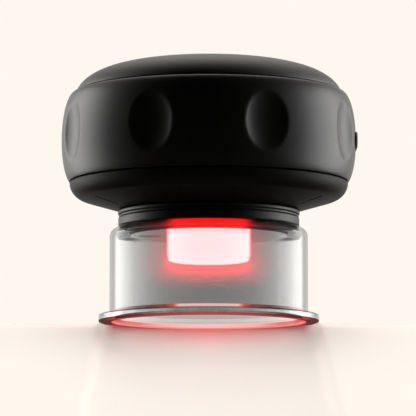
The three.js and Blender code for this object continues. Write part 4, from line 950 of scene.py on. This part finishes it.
def floorFinish(name):
    material, tree, shader = newFinish(name)
    specks = noiseOn(tree, objectPlace(tree), floor["speckScale"])
    # the shading attribute carries the painted shadow in red, the painted red lamp glow in green and the
    # cover in blue
    shading = addNode(tree, "Attribute", attribute_name="shading").outputs["Color"]
    parts = addNode(tree, "SeparateColor", {0: shading}).outputs
    shade = multiplied(tree, twoTone(tree, specks, cream, floor["speckTone"]), parts["Red"])
    seen = addNode(tree, "LightPath").outputs["Is Camera Ray"]
    setInputs(tree, shader, {
        "Roughness": floor["roughness"], "Specular IOR Level": floor["specular"],
        "Base Color": shade, "Emission Color": shade,
        "Emission Strength": combined(tree, "MULTIPLY", seen, floor["camera"])})
    red = glowing(tree, paintedLampRed, combined(tree, "MULTIPLY", parts["Green"], seen))
    lit = added(tree, shader.outputs[0], red)
    above = combined(tree, "SUBTRACT", 1.0, addNode(tree, "NewGeometry").outputs["Backfacing"])
    clear = addNode(tree, "BsdfTransparent").outputs[0]
    surfaceFrom(tree, mixed(tree, combined(tree, "MULTIPLY", above, parts["Blue"]), clear, lit))
    return material


# rows of points with (painted shade, painted red glow, cover) at each
def floorPiece(name, rows, finish):
    count = len(rows[0])
    points = [point for row in rows for point in row]
    faces = []
    for i in range(len(rows) - 1):
        for k in range(count - 1):
            a = i * count + k
            faces.append([a, a + count, a + 1 + count, a + 1])
    piece = meshObject(name, [tuple(c * mm for c in point[:3]) for point in points], faces, 180)
    levels = piece.data.attributes.new("shading", "FLOAT_COLOR", "POINT")
    for k, point in enumerate(points):
        levels.data[k].color = (*point[3], 1)
    piece.data.materials.append(finish)
    piece.visible_glossy = False


pale = floorFinish("paleFloor")
discRows = []
for i in range(floor["discRows"] + 1):
    radius = floor["discR"] * i / floor["discRows"]
    cover = 1 - smoothShare(radius, *floor["discFade"])
    places = arcPoints(0, 0, radius, radius, 0, 360, floor["discSteps"])
    discRows.append([(x, y, -floor["drop"] / 2, (1, 0, cover)) for x, y in places])
floorPiece("floorDisc", discRows, pale)
slope = math.tan(math.radians(floor["slopeDegrees"]))
sweepRows = []
for i in range(floor["sweepRows"] + 1):
    reach = floor["sweepLength"] * (i / floor["sweepRows"]) ** floor["crowding"]
    row = []
    for k in range(-floor["sweepColumns"], floor["sweepColumns"] + 1):
        off = floor["halfWidth"] * (abs(k) / floor["sweepColumns"]) ** floor["crowding"]
        x = math.copysign(off, k)
        farY = floor["rimShare"] * math.sqrt(max(floor["rimR"] ** 2 - x * x, 0))
        # painted shadow and painted red lamp glow, both fading with the reach towards the camera
        shade = between(paintedShadowBySide, off) * math.exp(-(reach / shadeReach[0]) ** shadeReach[1])
        shade *= 1 - besideRim(off, reach, *shadeOut)
        glow = between(paintedGlowBySide, off) * math.exp(-(reach / glowReach[0]) ** glowReach[1])
        cover = 1 - besideRim(off, reach, *coverOut)
        cover *= (1 - smoothShare(off, *floor["sideFade"])) * (1 - smoothShare(reach, *floor["farFade"]))
        row.append((x, farY - reach, -floor["drop"] - reach * slope, (1 - shade, glow, cover)))
    sweepRows.append(row)
floorPiece("floorSweep", sweepRows, pale)

# world: pale for the camera and through clear parts, dark in front and pale behind for gloss
room = {"levels": (0.008, 0.9), "overY": (-0.1, 0.7), "overZ": (-0.6, 0.0)}
world = bpy.data.worlds.new("studio")
world.use_nodes = True
scene.world = world
tree = world.node_tree
towards = addNode(tree, "SeparateXYZ", {0: addNode(tree, "TexCoord").outputs["Generated"]}).outputs
level = mapped(tree, towards["Y"], room["overY"], room["levels"], "SMOOTHSTEP")
above = mapped(tree, towards["Z"], room["overZ"], (0.0, 1.0), "SMOOTHSTEP")
strength = combined(tree, "MULTIPLY", level, above)
around = addNode(tree, "Background", {"Color": (*cream, 1), "Strength": strength})
backdrop = tree.nodes["Background"]
backdrop.inputs["Color"].default_value = (*cream, 1)
path = addNode(tree, "LightPath").outputs
seen = combined(tree, "ADD", path["Is Camera Ray"], path["Is Transmission Ray"], clamp=True)
sky = mixed(tree, seen, around.outputs[0], backdrop.outputs[0])
tree.links.new(sky, tree.nodes["World Output"].inputs["Surface"])

# soft boxes left and right and a little behind, and a small warm light over the cap, from behind
softBox = {"distance": 0.6, "height": 0.1, "high": 0.6, "aim": (0, 0, 0.045)}
sideLights = [{"side": -1, "bearing": 116, "wide": 0.42, "watts": 2.8},
              {"side": 1, "bearing": 106, "wide": 0.48, "watts": 3.6}]
topLight = {"place": (0, 0.3, 0.45), "aim": (0, 0, 0.07), "size": 0.3, "watts": 0.36,
            "tone": (1.0, 0.93, 0.87)}


def areaLight(name, place, aim, wide, high, watts, tone=(1, 1, 1)):
    light = bpy.data.lights.new(name, "AREA")
    light.shape = "RECTANGLE"
    light.size, light.size_y, light.energy, light.color = wide, high, watts, tone
    lamp = bpy.data.objects.new(name, light)
    scene.collection.objects.link(lamp)
    lamp.location = place
    lamp.rotation_euler = (Vector(aim) - lamp.location).to_track_quat("-Z", "Y").to_euler()
    lamp.visible_camera = False


for sideLight in sideLights:
    x, y = bearingPlace(softBox["distance"], sideLight["bearing"])
    areaLight("softBox", (sideLight["side"] * x, y, softBox["height"]), softBox["aim"], sideLight["wide"],
              softBox["high"], sideLight["watts"])
areaLight("topLight", topLight["place"], topLight["aim"], topLight["size"], topLight["size"],
          topLight["watts"], topLight["tone"])

# camera: low and far, looking slightly up
view = {"y": -1.0, "z": -0.077, "pitch": 6.39, "lens": 285.46, "sensor": 36, "shift": -0.0019}
lens = bpy.data.cameras.new("camera")
lens.lens, lens.sensor_width, lens.shift_x = view["lens"], view["sensor"], view["shift"]
camera = bpy.data.objects.new("camera", lens)
scene.collection.objects.link(camera)
camera.location = (0, view["y"], view["z"])
camera.rotation_euler = (math.radians(90 + view["pitch"]), 0, 0)
scene.camera = camera
scene.view_settings.view_transform = "Standard"
print("stage, light and camera set")
